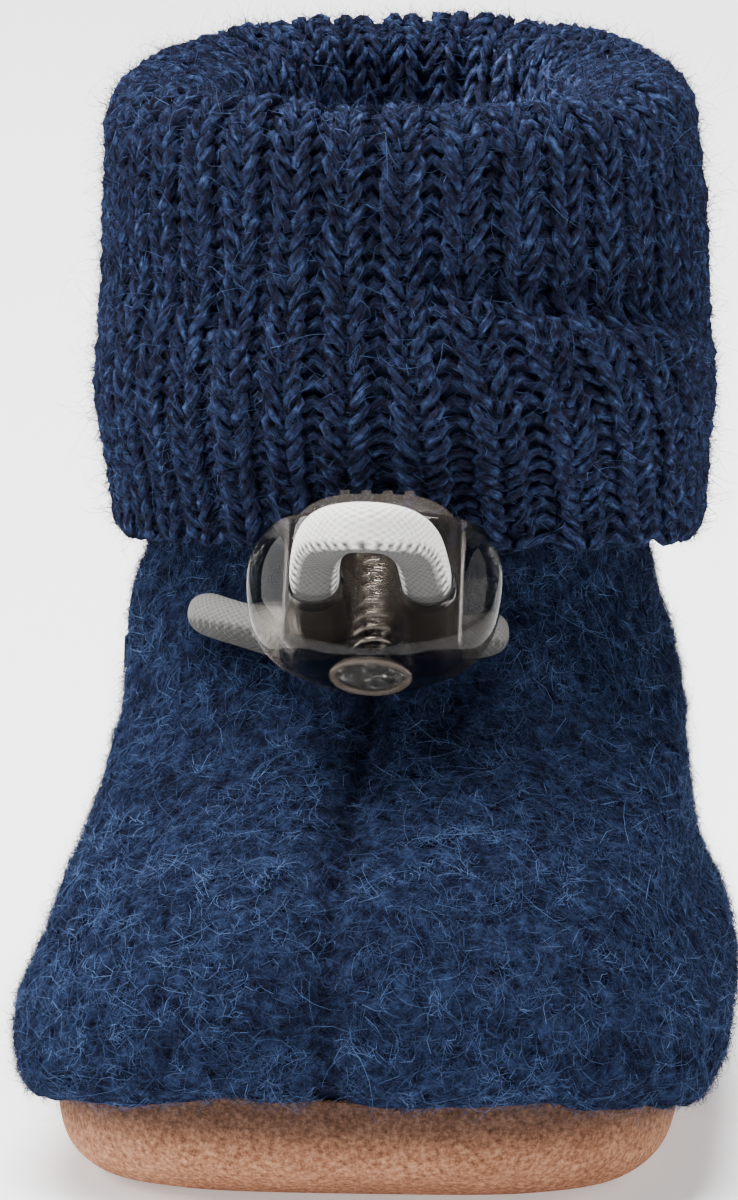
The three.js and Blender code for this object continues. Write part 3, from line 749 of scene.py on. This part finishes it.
# Where the wool gathers round the cord's holes: place, width and height
GATHERS = [((-19.5, -12, 51.5), 3.2, 2.0), ((14.5, -16, 51.0), 3.4, 2.2), ((-15, -14, 56.5), 3.0, 1.0)]


def seam_trough(points):
    off = points[..., 0] - SEAM.drift * share(SEAM.drift_from, SEAM.drift_to, points[..., 1])
    on_front = smoothstep(*SEAM_FADE, -points[..., 1])
    return -on_front * sum(trough.depth * bell(off, trough.half_width) for trough in (SEAM, SEAM_PINCH))


def fold_lift(points):
    """Soft troughs and ridges of the front of the wool."""
    lift = np.zeros(points.shape[:-1])
    front = fade(FOLD_FADE, points[..., 1])
    for start, end, width, height in FOLDS:
        way = np.subtract(end, start)
        from_start = points[..., [0, 2]] - start
        part = np.clip((from_start @ way) / (way @ way), 0, 1)
        off = np.linalg.norm(from_start - part[..., None] * way, axis=-1)
        lift += front * height * bell(off, width)
    for middle, width, height in GATHERS:
        lift += height * bell(np.linalg.norm(points - middle, axis=-1), width)
    return lift


def upper_outside(levels):
    """The wool's outer face with its seam, its folds, its soft lumps and its wandering lower edge."""
    grid = rings(UPPER, levels, even_turns(UPPER_COLUMNS))
    lift = seam_trough(grid) + fold_lift(grid) - NAP_DEPTH + lumpy(grid, WOOL_LUMPS)
    grid = grid + grid_normals(grid) * lift[..., None]
    low = fade(EDGE_LEVELS, levels)
    grid[..., 2] += low[:, None] * EDGE_WAVE * lumpy(grid[0], EDGE_LUMPS)[None]
    return grid


def make_upper():
    turns = even_turns(UPPER_COLUMNS)
    seat = rings(SOLE, [SOLE_EDGE_LEVEL], turns)[0] + [0, 0, GAP]
    outside = upper_outside(np.linspace(0, COLLAR_LEVEL, UPPER_ROWS))
    shoulder = grown(seat, LAP.clearance)
    lap = shoulder.copy()
    lap[:, 2] = np.minimum(lap[:, 2], outside[0, :, 2] + LAP.rise)
    inside = rings(UPPER, np.linspace(COLLAR_LEVEL, LINING_END_LEVEL, LINING_ROWS), turns)
    inside = inside - FELT * grid_normals(inside[::-1])[::-1]
    grid = np.concatenate([[grown(seat, -SUEDE), shoulder, lap], outside, inside])
    faces = grid_faces(*grid.shape[:2], wrapped=True)
    make_mesh("upper_felt", grid, faces, felt_material(), "upper")
    return outside


# Loose fibres
HEADING_FROM = (0.2, 0.3, 1)  # a fibre's heading is measured from the level at right angles to this
WOOL_LOCK = 2.4  # size of the locks in which fibres lie the same way
LOCK_SEED = 5
LOCK_TURN = 5  # radians that a lock turns its fibres, and that each strays
LOCK_STRAY = 2
TUFT = 1.7  # size of the tufts that stand up from the felt
TUFT_SEED = 7
TUFT_RISE = 0.3
TUFT_SPREAD = 0.5  # how loosely the fibres keep to the tufts
HEATHER = [(0.35, WOOL_LOCK, 6), (0.22, TUFT, TUFT_SEED)]  # strength, size and seed of lighter locks
DROOP = (0.2, 1.1)  # how much of its slope a fibre has lost at its tip
ROLL = (-0.9, 0.9)  # how far its flat side turns away
TAPER = 0.6
CELL_EDGE = 0.1  # bare edge of a fibre's cell in the map for baking
SPARE = 1.5  # roots tried for each fibre that is kept
SEAM_SHADE = 0.2  # how much darker they are for each millimetre down in the seam
FOLD_SHADE = 0.1  # and in a fold
PATCHES = [(0.16, 8, 11)]  # strength, size and seed of the felt's lighter patches
LABEL_BARE = 1.0  # no fibres grow this close to the label

# Each layer of fibres: lowest and highest length, lift (slope off the surface), curl (turn from root to tip)
# and width, the tint's mean and spread, and the number of fibres and of segments in each
Layer = namedtuple("Layer", "length lift curl width tint count segments")
NAP = {
    "upper_nap_low": Layer((0.6, 1.5), (0.2, 1.0), (0.1, 0.3), (0.05, 0.1), (0.34, 0.17), 138000, 1),
    "upper_nap_high": Layer((1.0, 3.4), (0.2, 0.9), (0.5, 2.4), (0.038, 0.068), (0.44, 0.21), 46000, 2),
    "upper_loose_hairs": Layer((2.5, 8.0), (0.08, 0.6), (0.4, 2.2), (0.022, 0.042), (0.64, 0.18), 6000, 4),
}
CUFF_FUZZ = {
    "cuff_fuzz": Layer((0.7, 1.9), (0.1, 0.7), (0.1, 0.3), (0.05, 0.1), (0.36, 0.2), 118000, 1),
    "cuff_curls": Layer((1.4, 4.2), (0.15, 0.8), (0.4, 2.2), (0.036, 0.066), (0.46, 0.21), 34000, 2),
    "cuff_loose_hairs": Layer((2.5, 7.5), (0.15, 0.8), (0.4, 2.2), (0.022, 0.044), (0.74, 0.18), 4500, 4),
}


def fibre_points(roots, facing, look):
    """Curled ribbons from roots, as rows of points that go from edge to edge and end in a tip."""
    count = len(roots)

    def between(low, high):
        return rng.uniform(low, high, count)[:, None]

    level = unit(np.cross(facing, HEADING_FROM))
    steep = np.cross(facing, level)
    heading = (LOCK_TURN * lumps(roots, WOOL_LOCK, LOCK_SEED) + rng.normal(0, LOCK_STRAY, count))[:, None]
    flat = np.cos(heading) * level + np.sin(heading) * steep
    across = np.cross(facing, flat)
    size = between(*look.length)
    slope = between(*look.lift)
    turn = between(*look.curl) * rng.choice([-1, 1], count)[:, None]
    droop = slope * between(*DROOP)
    stations = np.linspace(0, 1, look.segments + 1)
    middle = []
    for s in stations:
        ahead = flat * np.sin(turn * s) / turn + across * (1 - np.cos(turn * s)) / turn
        middle.append(roots + size * (ahead + facing * (slope - droop * s) * s))
    middle = np.stack(middle, 1)
    tangent = unit(np.gradient(middle, axis=1))
    roll = between(*ROLL)[:, None]
    view = np.cos(roll) * facing[:, None] + np.sin(roll) * across[:, None]
    side = unit(np.cross(tangent, view))[:, :-1]
    half = between(*look.width)[:, None] / 2 * (1 - TAPER * stations[:-1])[None, :, None]
    edges = np.stack([middle[:, :-1] - side * half, middle[:, :-1] + side * half], 2)
    return np.concatenate([edges.reshape(count, -1, 3), middle[:, -1:]], 1)


def fibres(name, roots, facing, material, look, shift=0):
    """A layer of fibres from roots. shift lightens or darkens each fibre."""
    points = fibre_points(roots, facing, look)
    count, corners = points.shape[:2]
    corner = np.arange(corners)
    strip = np.stack([corner[:-2], corner[1:-1], corner[2:]], -1)
    strip[1::2] = strip[1::2, [1, 0, 2]]
    faces = (np.arange(count)[:, None, None] * corners + strip).reshape(-1, 3).tolist()
    cells = math.ceil(math.sqrt(count))
    cell = np.stack([np.arange(count) % cells, np.arange(count) // cells], -1)[:, None, None]
    local = CELL_EDGE + (1 - 2 * CELL_EDGE) * np.stack([corner % 2, corner // 2 / look.segments], -1)
    local[-1, 0] = 0.5
    bake = ((cell + local[strip]) / cells).reshape(-1, 2)
    shade = np.clip(rng.normal(*look.tint, count) + lumpy(roots, HEATHER) + shift, 0, 1)
    make_mesh(name, points, faces, material, None, {"OFBake": bake}, np.repeat(shade, corners))


def scatter(grid, count):
    """Random points of a grid, even over its area, with their normals."""
    around = np.roll(grid, -1, 1) - grid
    along = np.diff(grid, axis=0)
    area = np.linalg.norm(np.cross(around[:-1], along), axis=-1)
    columns = area.shape[1]
    chosen = rng.choice(area.size, count, p=(area / area.sum()).ravel())
    row = chosen // columns + rng.uniform(0, 1, count)
    turn = (chosen % columns + rng.uniform(0, 1, count)) / columns
    return sample(grid, row, turn), unit(sample(grid_normals(grid), row, turn))


def tufted(roots, facing, count):
    """The roots that lie in tufts, which stand a little higher."""
    height = lumps(roots, TUFT, TUFT_SEED)
    kept = np.argsort(height + rng.normal(0, TUFT_SPREAD, len(roots)))[-count:]
    return roots[kept] + facing[kept] * (TUFT_RISE * height[kept])[:, None], facing[kept]


def make_nap(outside):
    """Short curled fibres that cling to the felt, and longer hairs that stand off."""
    material = fibre_material("wool_fibre", WOOL)
    label_low, label_high = (np.array(corner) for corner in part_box("side_label"))
    for name, look in NAP.items():
        roots, facing = scatter(outside, int(SPARE * look.count))
        at = place(roots)
        on_label = np.all((at > label_low - LABEL_BARE * MM) & (at < label_high + LABEL_BARE * MM), -1)
        roots, facing = tufted(roots[~on_label], facing[~on_label], look.count)
        shade = SEAM_SHADE * seam_trough(roots) + FOLD_SHADE * np.minimum(fold_lift(roots), 0)
        fibres(name, roots, facing, material, look, shade + lumpy(roots, PATCHES))


def make_cuff_fuzz(roots, outward):
    material = fibre_material("knit_fibre", KNIT_WOOL)
    for name, look in CUFF_FUZZ.items():
        chosen = rng.choice(len(roots), look.count)
        fibres(name, roots[chosen], outward[chosen], material, look)


# Rib-knit cuff
RIBS = 38
RIB_PITCH = 6.1  # of the ribs at the front of the flap
GIRTH = RIBS * RIB_PITCH
COURSE = 2.08  # height of one row of stitches
FIRST_COURSE = 0.4  # how far up in rows a batch starts
FLAP_COURSES = 27  # rows from the hem to just inside the crest
INSIDE_COURSES = 18  # rows from there down, as deep as stitches show
INSIDE_FADE = 2.5  # rows over which the painted light of the inside fades in
UNFANNED = 3  # rows at the top of the flap that don't splay
YARN = 1.18
YARN_SPREAD = 0.14  # of its thickness, from stitch to stitch
YARN_FRAY = 0.08  # roughness of its surface
SWAY = (0.15, 0.07, 0.15)  # of each stitch: across, up and out
SHOWING = 0.35  # how far out the yarn has to face to grow fuzz
# Height, size and seed of how the ribs wander sideways, and of the knit's lumps
RIB_WANDER = [(0.7, 13, 8)]
KNIT_LUMPS = [(0.35, 8, 9)]
SHELL_DEPTH = 1.9  # the plain backing lies this far under the knit's face
SHELL_DEPTH_INSIDE = 1.1
SHELL_ROWS = 5  # every so many rows and columns of the knit's face
SHELL_COLUMNS = 2
INSIDE_LEVELS = (CREST_LEVEL, CREST_LEVEL + 0.8)  # where the flap becomes the inside
LEVEL_STEPS = 20
RIB_STEPS = 8
RIM_LUMPS = [(0.9, 11, 5)]  # how the rim wanders up and down: height, size and seed
RIM_LEVELS = 1.2
FLAP_TOP = (CREST_LEVEL - 1.2, CREST_LEVEL - 0.4)  # where the flap's folds fade out
# The fold that steps out on the medial half: its line (round from the front centre, and up), where round it
# begins and ends, where below the line it rises and falls, and the trough above it
CREASE = Sizes(
    start=(4, 88.5), end=(46, 80), round=((-1, 9), (36, 52)), height=2.6, below=((-0.6, 1.8), (7, 24)),
    trough=-2.2, trough_width=1.8,
)
# The faint fold opposite
FAINT_FOLD = Sizes(
    round=((4, 12), (34, 50)), height=0.7, ridge=79, ridge_width=5, trough=86, trough_width=2.5,
)
# How the ribs splay under the crease: where round, sideways for each millimetre down, and how far down
FAN = Sizes(round=((-8, 34), (40, 96)), slope=0.62, reach=30)
# Half a stitch and half of the dip beside it: across in millimetres, up in rows, out in millimetres
STITCH = [
    (0.00, 1.25, -0.95),
    (1.12, 1.40, -0.78),
    (1.88, 1.15, -0.42),
    (1.56, 0.68, -0.05),
    (0.86, 0.22, -0.10),
    (0.36, -0.18, -0.55),
    (0.95, -0.42, -1.02),
    (2.10, -0.10, -1.22),
    (RIB_PITCH / 2, 0.30, -1.02),
]
# Batches of rows: from, to, points in a stitch, sides of the yarn, and share of the stitches' full depth
BATCHES = {
    "cuff_flap_low": (0, FLAP_COURSES // 2, 17, 5, 1),
    "cuff_flap_high": (FLAP_COURSES // 2, FLAP_COURSES, 17, 5, 1),
    "cuff_inside": (FLAP_COURSES, FLAP_COURSES + INSIDE_COURSES, 14, 4, 0.6),
}


def crease_height(round_):
    (from_round, from_z), (to_round, to_z) = CREASE.start, CREASE.end
    return from_z + (to_z - from_z) * share(from_round, to_round, round_)


def flap_lift(round_, height):
    """Soft troughs and ridges of the flap: the crease and the faint fold opposite."""
    below = crease_height(round_) - height
    trough = bell(below - CREASE.trough, CREASE.trough_width)
    step = CREASE.height * window(*CREASE.below, below) - trough
    ridge = bell(height - FAINT_FOLD.ridge, FAINT_FOLD.ridge_width)
    faint_trough = bell(height - FAINT_FOLD.trough, FAINT_FOLD.trough_width)
    faint = FAINT_FOLD.height * (ridge - faint_trough)
    return window(*CREASE.round, round_) * step + window(*FAINT_FOLD.round, -round_) * faint


def fan(points, turn):
    """How far the ribs splay under the crease, as a share of the whole round."""
    round_ = (turn - np.round(turn)) * GIRTH
    below = np.clip(crease_height(round_) - points[..., 2], 0, FAN.reach)
    return FAN.slope * window(*FAN.round, round_) * below / GIRTH


def cuff_grid():
    """The knit's face, with the flap's folds and its uneven rim, and the level of each of its rows."""
    levels = np.linspace(0, CUFF_END_LEVEL, CUFF_END_LEVEL * LEVEL_STEPS + 1)
    turns = even_turns(RIBS * RIB_STEPS)
    grid = rings(CUFF, levels, turns)
    girth = np.linalg.norm(np.roll(grid, -1, 1) - grid, axis=-1).sum(1, keepdims=True)
    round_ = (turns - np.round(turns))[None] * girth
    on_flap = fade(FLAP_TOP, levels)[:, None]
    lift = on_flap * flap_lift(round_, grid[..., 2])
    raised = bell(levels - CREST_LEVEL, RIM_LEVELS)[:, None] * lumpy(grid, RIM_LUMPS)
    grid = grid + grid_normals(grid) * lift[..., None]
    grid[..., 2] += raised
    return grid, levels


def stitch_path(samples):
    """One rib of a row of yarn, from the dip before the stitch to the dip after it."""
    half = np.array(STITCH)
    left = half[:0:-1] * [-1, 1, 1]
    points = np.concatenate([left, half[:-1]])
    count = len(points)
    at = np.arange(samples) * count / samples
    i = at.astype(int)

    def point(k):
        wraps = np.floor_divide(k, count)
        return points[k % count] + np.stack([wraps * RIB_PITCH, 0 * wraps, 0 * wraps], -1)

    return curve_through(*(point(i + k) for k in (-1, 0, 1, 2)), (at - i)[:, None])


def yarn_lines(grid, row_of, courses, samples, relief):
    """Each row's yarn as a line, the way the knit faces there, and how near a stitch's middle that is."""
    facing = grid_normals(grid)
    count = RIBS * samples
    centre = np.cos(math.pi * (even_turns(samples) - 0.5)) ** 2
    sway = rng.normal(0, 1, (len(courses), RIBS, 1, 3)) * SWAY
    sway = (sway * centre[None, None, :, None]).reshape(len(courses), count, 3)
    across, up, out = np.moveaxis(np.tile(stitch_path(samples) * [1, 1, relief], (RIBS, 1)) + sway, -1, 0)
    row = row_of((courses[:, None] + up) * COURSE)
    rib = np.repeat(np.arange(RIBS) + 0.5, samples)
    turn = (rib + across / RIB_PITCH) / RIBS
    flat = sample(grid, row, turn)
    on_flap = courses[:, None] < FLAP_COURSES - UNFANNED
    turn = turn + on_flap * fan(flat, turn) + lumpy(flat, RIB_WANDER) / GIRTH
    away = unit(sample(facing, row, turn))
    lines = sample(grid, row, turn) + away * (out + lumpy(flat, KNIT_LUMPS))[..., None]
    return lines, away, np.tile(centre, RIBS)


def knit_yarn(name, grid, row_of, courses, samples, sides, relief, material):
    """One closed loop of yarn for each row. Gives the yarn's points that show, and which way they face."""
    lines, away, centre = yarn_lines(grid, row_of, courses, samples, relief)
    uneven = rng.normal(size=(len(courses), RIBS)).repeat(samples, 1) * centre
    ring, outward = sweep(lines, YARN / 2 * (1 + YARN_SPREAD * uneven), sides, True)
    ring = ring + outward * rng.normal(0, YARN_FRAY, ring.shape[:3])[..., None]
    along = np.stack([lengths_along(np.concatenate([line, line[:1]])) for line in lines])
    faces = grid_faces(RIBS * samples, sides, True, len(courses))
    # painted light on the rows inside the cuff
    painted_light_inside = smoothstep(0, INSIDE_FADE, courses - FLAP_COURSES)[:, None, None]
    tint = np.broadcast_to(painted_light_inside, ring.shape[:3])
    make_mesh(name, ring, faces, material, None, tube_uvs(along, sides), tint)
    showing = np.sum(outward * away[:, :, None], -1) > SHOWING
    return ring[showing], outward[showing]


def make_backing(grid, levels):
    """The ground under the stitches, and the hidden face of the cuff's wall."""
    facing = grid_normals(grid)
    inner = smoothstep(*INSIDE_LEVELS, levels)[:, None, None]
    depth = SHELL_DEPTH + (SHELL_DEPTH_INSIDE - SHELL_DEPTH) * inner
    seen = (grid - facing * depth)[::SHELL_ROWS]
    hidden = (grid - facing * KNIT)[::SHELL_ROWS][::-1]
    backing = np.concatenate([seen, hidden])[:, ::SHELL_COLUMNS]
    # painted light on the backing inside the cuff
    light = np.zeros(backing.shape[:2])
    light[:len(seen)] = inner[::SHELL_ROWS, :, 0]
    faces = grid_faces(*backing.shape[:2], wrapped=True)
    make_mesh("cuff_backing", backing, faces, backing_material(), "cuff", tint=light)


def make_cuff():
    grid, levels = cuff_grid()
    make_backing(grid, levels)
    spans = np.linalg.norm(np.diff(grid, axis=0), axis=-1).mean(1)
    lengths = np.concatenate([[0], np.cumsum(spans)])

    def row_of(length):
        return np.interp(length, lengths, np.arange(len(lengths)))

    yarn = yarn_material()
    last = int(lengths[-1] / COURSE) - 1
    shown = []
    for name, (start, end, samples, sides, relief) in BATCHES.items():
        courses = np.arange(start + FIRST_COURSE, min(end, last))
        shown.append(knit_yarn(name, grid, row_of, courses, samples, sides, relief, yarn))
    return [np.concatenate(parts) for parts in zip(*shown)]


# Sole and footbed
SOLE_COLUMNS = 200
SOLE_ROWS = 33
SOLE_BEND_ROW = 24  # where its inner wall ends
# The footbed's rounded edge: out, up in shares of its thickness, and how much of the tread's lift it follows
FOOTBED_EDGE = [
    (-0.6, 0, 1), (0.6, 0.25, 0.9), (1.1, 0.5, 0.9), (1.1, 0.8, 0.9),
    (0.6, 1, 0.9), (-2, 1, 0.9), (-9, 1, 0.9),
]


def tread_lift(y):
    spring = share(TOE_SPRING.start, TOE_SPRING.end, y, TOE_SPRING.most)
    arch = share(ARCH.start, ARCH.end, y)
    return TOE_SPRING.rise * spring ** 2 + ARCH.rise * np.sin(math.pi * arch) ** 2


def on_tread(grid, follow):
    lifted = grid.copy()
    lifted[..., 2] += follow * tread_lift(grid[..., 1])
    return lifted


def tread(rise):
    return rings(SOLE, [0], even_turns(SOLE_COLUMNS))[0] + [0, 0, rise]


def make_sole():
    levels = np.linspace(0, SOLE_EDGE_LEVEL, SOLE_ROWS)
    outside = rings(SOLE, levels, even_turns(SOLE_COLUMNS))
    outside = on_tread(outside, np.interp(levels, np.arange(len(FOLLOW)), FOLLOW)[:, None])
    inside = [grown(outside[-1], -SUEDE), grown(outside[SOLE_BEND_ROW], -SUEDE), on_tread(tread(SUEDE), 1)]
    grid = np.concatenate([outside, inside])
    make_mesh("sole_suede", grid, laced_faces(*grid.shape[:2]), suede_material(), "outsole")


def make_insole():
    floor = tread(SUEDE + GAP)
    rounded = [on_tread(grown(floor, out) + [0, 0, up * FOOTBED], follow) for out, up, follow in FOOTBED_EDGE]
    faces = laced_faces(len(rounded), SOLE_COLUMNS)
    make_mesh("footbed", np.array(rounded), faces, footbed_material(), "insole")


# Cord lock
LOCK_SIDES = 96
BAR_SIDES = 40
BODY_STEPS = 4  # rows from each section of the body to the next
SHARP_ANGLE = 32
LIP = 0.4  # half the thickness of the lip round the dish
LIP_SIDES = 12
FROST_SHARES = np.linspace(1, 0.05, 8)  # rings of the dish's frosted floor
FROST_SAG = 0.5
FROST_CLEARANCE = 0.1
COIL_STEPS = 28  # in each turn
COIL_SIDES = 10
GRIPS = Sizes(places=(-3.3, -1.1, 1.1, 3.3), half_width=0.5, half_depth=2.3, start=9.55, end=10.55)
# The slider's sections: height, and how far its sides and its faces have rounded in
SLIDER = [
    (-4.9, 1.2, 0.6), (-3.9, 0, 0), (6.4, 0, 0), (7.6, 0.5, 0.15), (8.6, 1.4, 0.4),
    (9.3, 2.4, 0.7), (9.6, 3.0, 0.9), (9.9, 3.8, 1.2), (10.1, 4.8, 1.6),
]


def oval_loft(rows, squareness):
    """A closed upright body of squarish ovals given as height, half width and half depth."""
    angle = 2 * math.pi * even_turns(LOCK_SIDES)
    across, deep = (np.sign(v) * np.abs(v) ** (2 / squareness) for v in (np.sin(angle), np.cos(angle)))
    grid = np.stack([np.stack([w * across, -d * deep, np.full(LOCK_SIDES, z)], -1) for z, w, d in rows])
    return grid.reshape(-1, 3), capped_faces(len(rows), LOCK_SIDES)


def bar(start, end, diameter):
    ring, _ = sweep(np.array([[start, end]], float), diameter / 2, BAR_SIDES, False)
    return ring.reshape(-1, 3), capped_faces(2, BAR_SIDES)


def upright(low, high, diameter):
    return bar((0, 0, low), (0, 0, high), diameter)


def channel_bars(rise):
    offset, z, reach = CHANNEL.offset, CHANNEL.z + rise, CHANNEL.reach
    return [bar((x, -reach, z), (x, reach, z), CHANNEL.diameter) for x in (-offset, offset)]


def block(low, high):
    (x0, y0, z0), (x1, y1, z1) = low, high
    corners = (x0, y0), (x1, y0), (x1, y1), (x0, y1)
    points = np.array([(*corner, z) for z in (z0, z1) for corner in corners], float)
    return points, [[3, 2, 1, 0], [4, 5, 6, 7]] + grid_faces(2, 4)


def solid(name, shape):
    points, faces = shape
    return add_mesh(name, place(from_lock(points)), faces)


def carve(name, base, cuts, adds, material, body, node):
    """A lock piece: the base shape less the cuts, plus the adds, with crisp edges kept."""
    piece = solid(name, base)
    tools = []
    for operation, shapes in (("DIFFERENCE", cuts), ("UNION", adds)):
        for shape in shapes:
            tools.append(solid("tool", shape))
            modifier = piece.modifiers.new("carve", "BOOLEAN")
            modifier.operation = operation
            modifier.object = tools[-1]
            modifier.solver = "EXACT"
    graph = bpy.context.evaluated_depsgraph_get()
    mesh = bpy.data.meshes.new_from_object(piece.evaluated_get(graph))
    piece.modifiers.clear()
    piece.data = mesh
    for tool in tools:
        bpy.data.objects.remove(tool)
    mesh.materials.clear()
    mesh.materials.append(material)
    mesh.set_sharp_from_angle(angle=math.radians(SHARP_ANGLE))
    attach(piece, body)
    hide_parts(node)


def make_lock_body():
    smoke = smoke_material("smoke_plastic", (0.088, 0.072, 0.060), (0.126, 0.106, 0.090), 1, 0.56)
    width, depth, floor = CAVITY.half_width, CAVITY.half_depth, CAVITY.floor
    cavity = oval_loft([
        (floor, width - FLOOR_BEVEL.across, depth - FLOOR_BEVEL.deep),
        (floor + FLOOR_BEVEL.up, width, depth),
        (CAVITY.mouth, width, depth),
    ], SLIDER_SQUARENESS)
    dish = upright(END_DISH.bottom, END_DISH.top, END_DISH.diameter)
    pin = upright(floor - SPRING_PIN.sunk, SPRING_PIN.top, SPRING_PIN.diameter)
    last = len(BARREL) - 1
    rows = sections_at(BARREL, np.linspace(0, last, last * BODY_STEPS + 1))
    body = oval_loft(rows, BARREL_SQUARENESS)
    carve("lock_body", body, [cavity, dish, *channel_bars(0)], [pin], smoke, "shoe", "lock_barrel")


def make_lock_end():
    """The rounded lip of the dish in the lock's end, and its frosted floor."""
    lip_plastic = smoke_material("lip_plastic", (0.08, 0.063, 0.052), (0.12, 0.098, 0.082), 0, 0.7)
    angle = 2 * math.pi * even_turns(LOCK_SIDES)
    circle = np.stack([np.cos(angle), np.sin(angle), np.zeros(LOCK_SIDES)], -1)
    radius = END_DISH.diameter / 2
    lip = from_lock(circle * (radius + LIP) + [0, 0, BARREL[0, 0]])
    ring, _ = sweep(lip[None], LIP, LIP_SIDES, True)
    faces = grid_faces(LOCK_SIDES, LIP_SIDES, wrapped=True)
    make_mesh("lock_end_lip", ring, faces, lip_plastic)
    top = END_DISH.top - FROST_CLEARANCE
    dome = np.array([circle * part * radius + [0, 0, top - FROST_SAG * part ** 2] for part in FROST_SHARES])
    faces = grid_faces(*dome.shape[:2])
    make_mesh("lock_end_frost", from_lock(dome), faces, frost_material())


def make_slider():
    clear = smoke_material("slider_plastic", (0.30, 0.26, 0.22), (0.42, 0.36, 0.31), 0, 0.09)
    width, depth = CAVITY.half_width - GAP, CAVITY.half_depth - GAP
    slider = oval_loft([(z, width - in_x, depth - in_y) for z, in_x, in_y in SLIDER], SLIDER_SQUARENESS)
    wide, deep = GRIPS.half_width, GRIPS.half_depth
    grips = [block((x - wide, -deep, GRIPS.start), (x + wide, deep, GRIPS.end)) for x in GRIPS.places]
    bore = upright(SPRING_BORE.bottom, SPRING.top + GAP, SPRING_BORE.diameter)
    offset, half = CHANNEL.offset, CHANNEL.diameter / 2
    reach, z = CHANNEL.reach, CHANNEL.z
    slots = [block((x - half, -reach, z), (x + half, reach, z + STROKE)) for x in (-offset, offset)]
    cuts = [bore, *channel_bars(0), *channel_bars(STROKE), *slots]
    carve("lock_slider", slider, cuts, grips, clear, "plunger", "lock_plunger")


def make_spring():
    steps = SPRING.turns * COIL_STEPS
    part = np.linspace(0, 1, steps)
    angle = 2 * math.pi * SPRING.turns * part
    wire = SPRING.wire / 2
    bottom = CAVITY.floor + GAP + wire
    z = bottom + (SPRING.top - wire - bottom) * part
    path = np.stack([SPRING.radius * np.cos(angle), SPRING.radius * np.sin(angle), z], -1)
    ring, _ = sweep(from_lock(path)[None], wire, COIL_SIDES, False)
    faces = grid_faces(steps, COIL_SIDES)
    spring = make_mesh("lock_coil", ring, faces, steel_material(), "lock_spring")
    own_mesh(spring)


# Floor and light, in metres
FLOOR_REACH = 12
FLOOR_GLOW = 0.45
WORLD_STRENGTH = 0.15
LIT_POINT = (0, 0, 0.05)
# Name, place, size and power of each soft lamp
LAMPS = [
    ("left", (-1.5, -0.4, 1.1), 1.1, 34),
    ("top", (-0.3, 0.05, 1.8), 1.4, 142),
    ("right", (1.5, -0.4, 0.9), 1.1, 10),
]


def floor_material():
    glow = {"Emission_Color": (1, 1, 1, 1), "Emission_Strength": FLOOR_GLOW}
    return grained("floor", 0.9, (3, 2, 0.5), (0, 1), [(0.90, 0.90, 0.90), (0.92, 0.92, 0.92)], **glow)


def make_floor():
    corners = [(x * FLOOR_REACH, y * FLOOR_REACH, 0) for x, y in ((-1, -1), (1, -1), (1, 1), (-1, 1))]
    floor = add_mesh("floor", corners, [(0, 1, 2, 3)])
    floor.data.materials.append(floor_material())


def make_light():
    world = bpy.data.worlds.new("studio")
    world.use_nodes = True
    background = world.node_tree.nodes["Background"].inputs
    background["Color"].default_value = (1, 1, 1, 1)
    background["Strength"].default_value = WORLD_STRENGTH
    bpy.context.scene.world = world
    for name, position, size, power in LAMPS:
        lamp = bpy.data.lights.new(name, "AREA")
        lamp.size = size
        lamp.energy = power
        light = add(name, lamp)
        light.location = position
        turn_to(light, LIT_POINT)


make_camera()
make_cord()
make_nap(make_upper())
make_cuff_fuzz(*make_cuff())
make_sole()
make_insole()
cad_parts["side_label"].data.materials.clear()
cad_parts["side_label"].data.materials.append(label_material())
make_lock_body()
make_lock_end()
make_slider()
make_spring()
make_floor()
make_light()
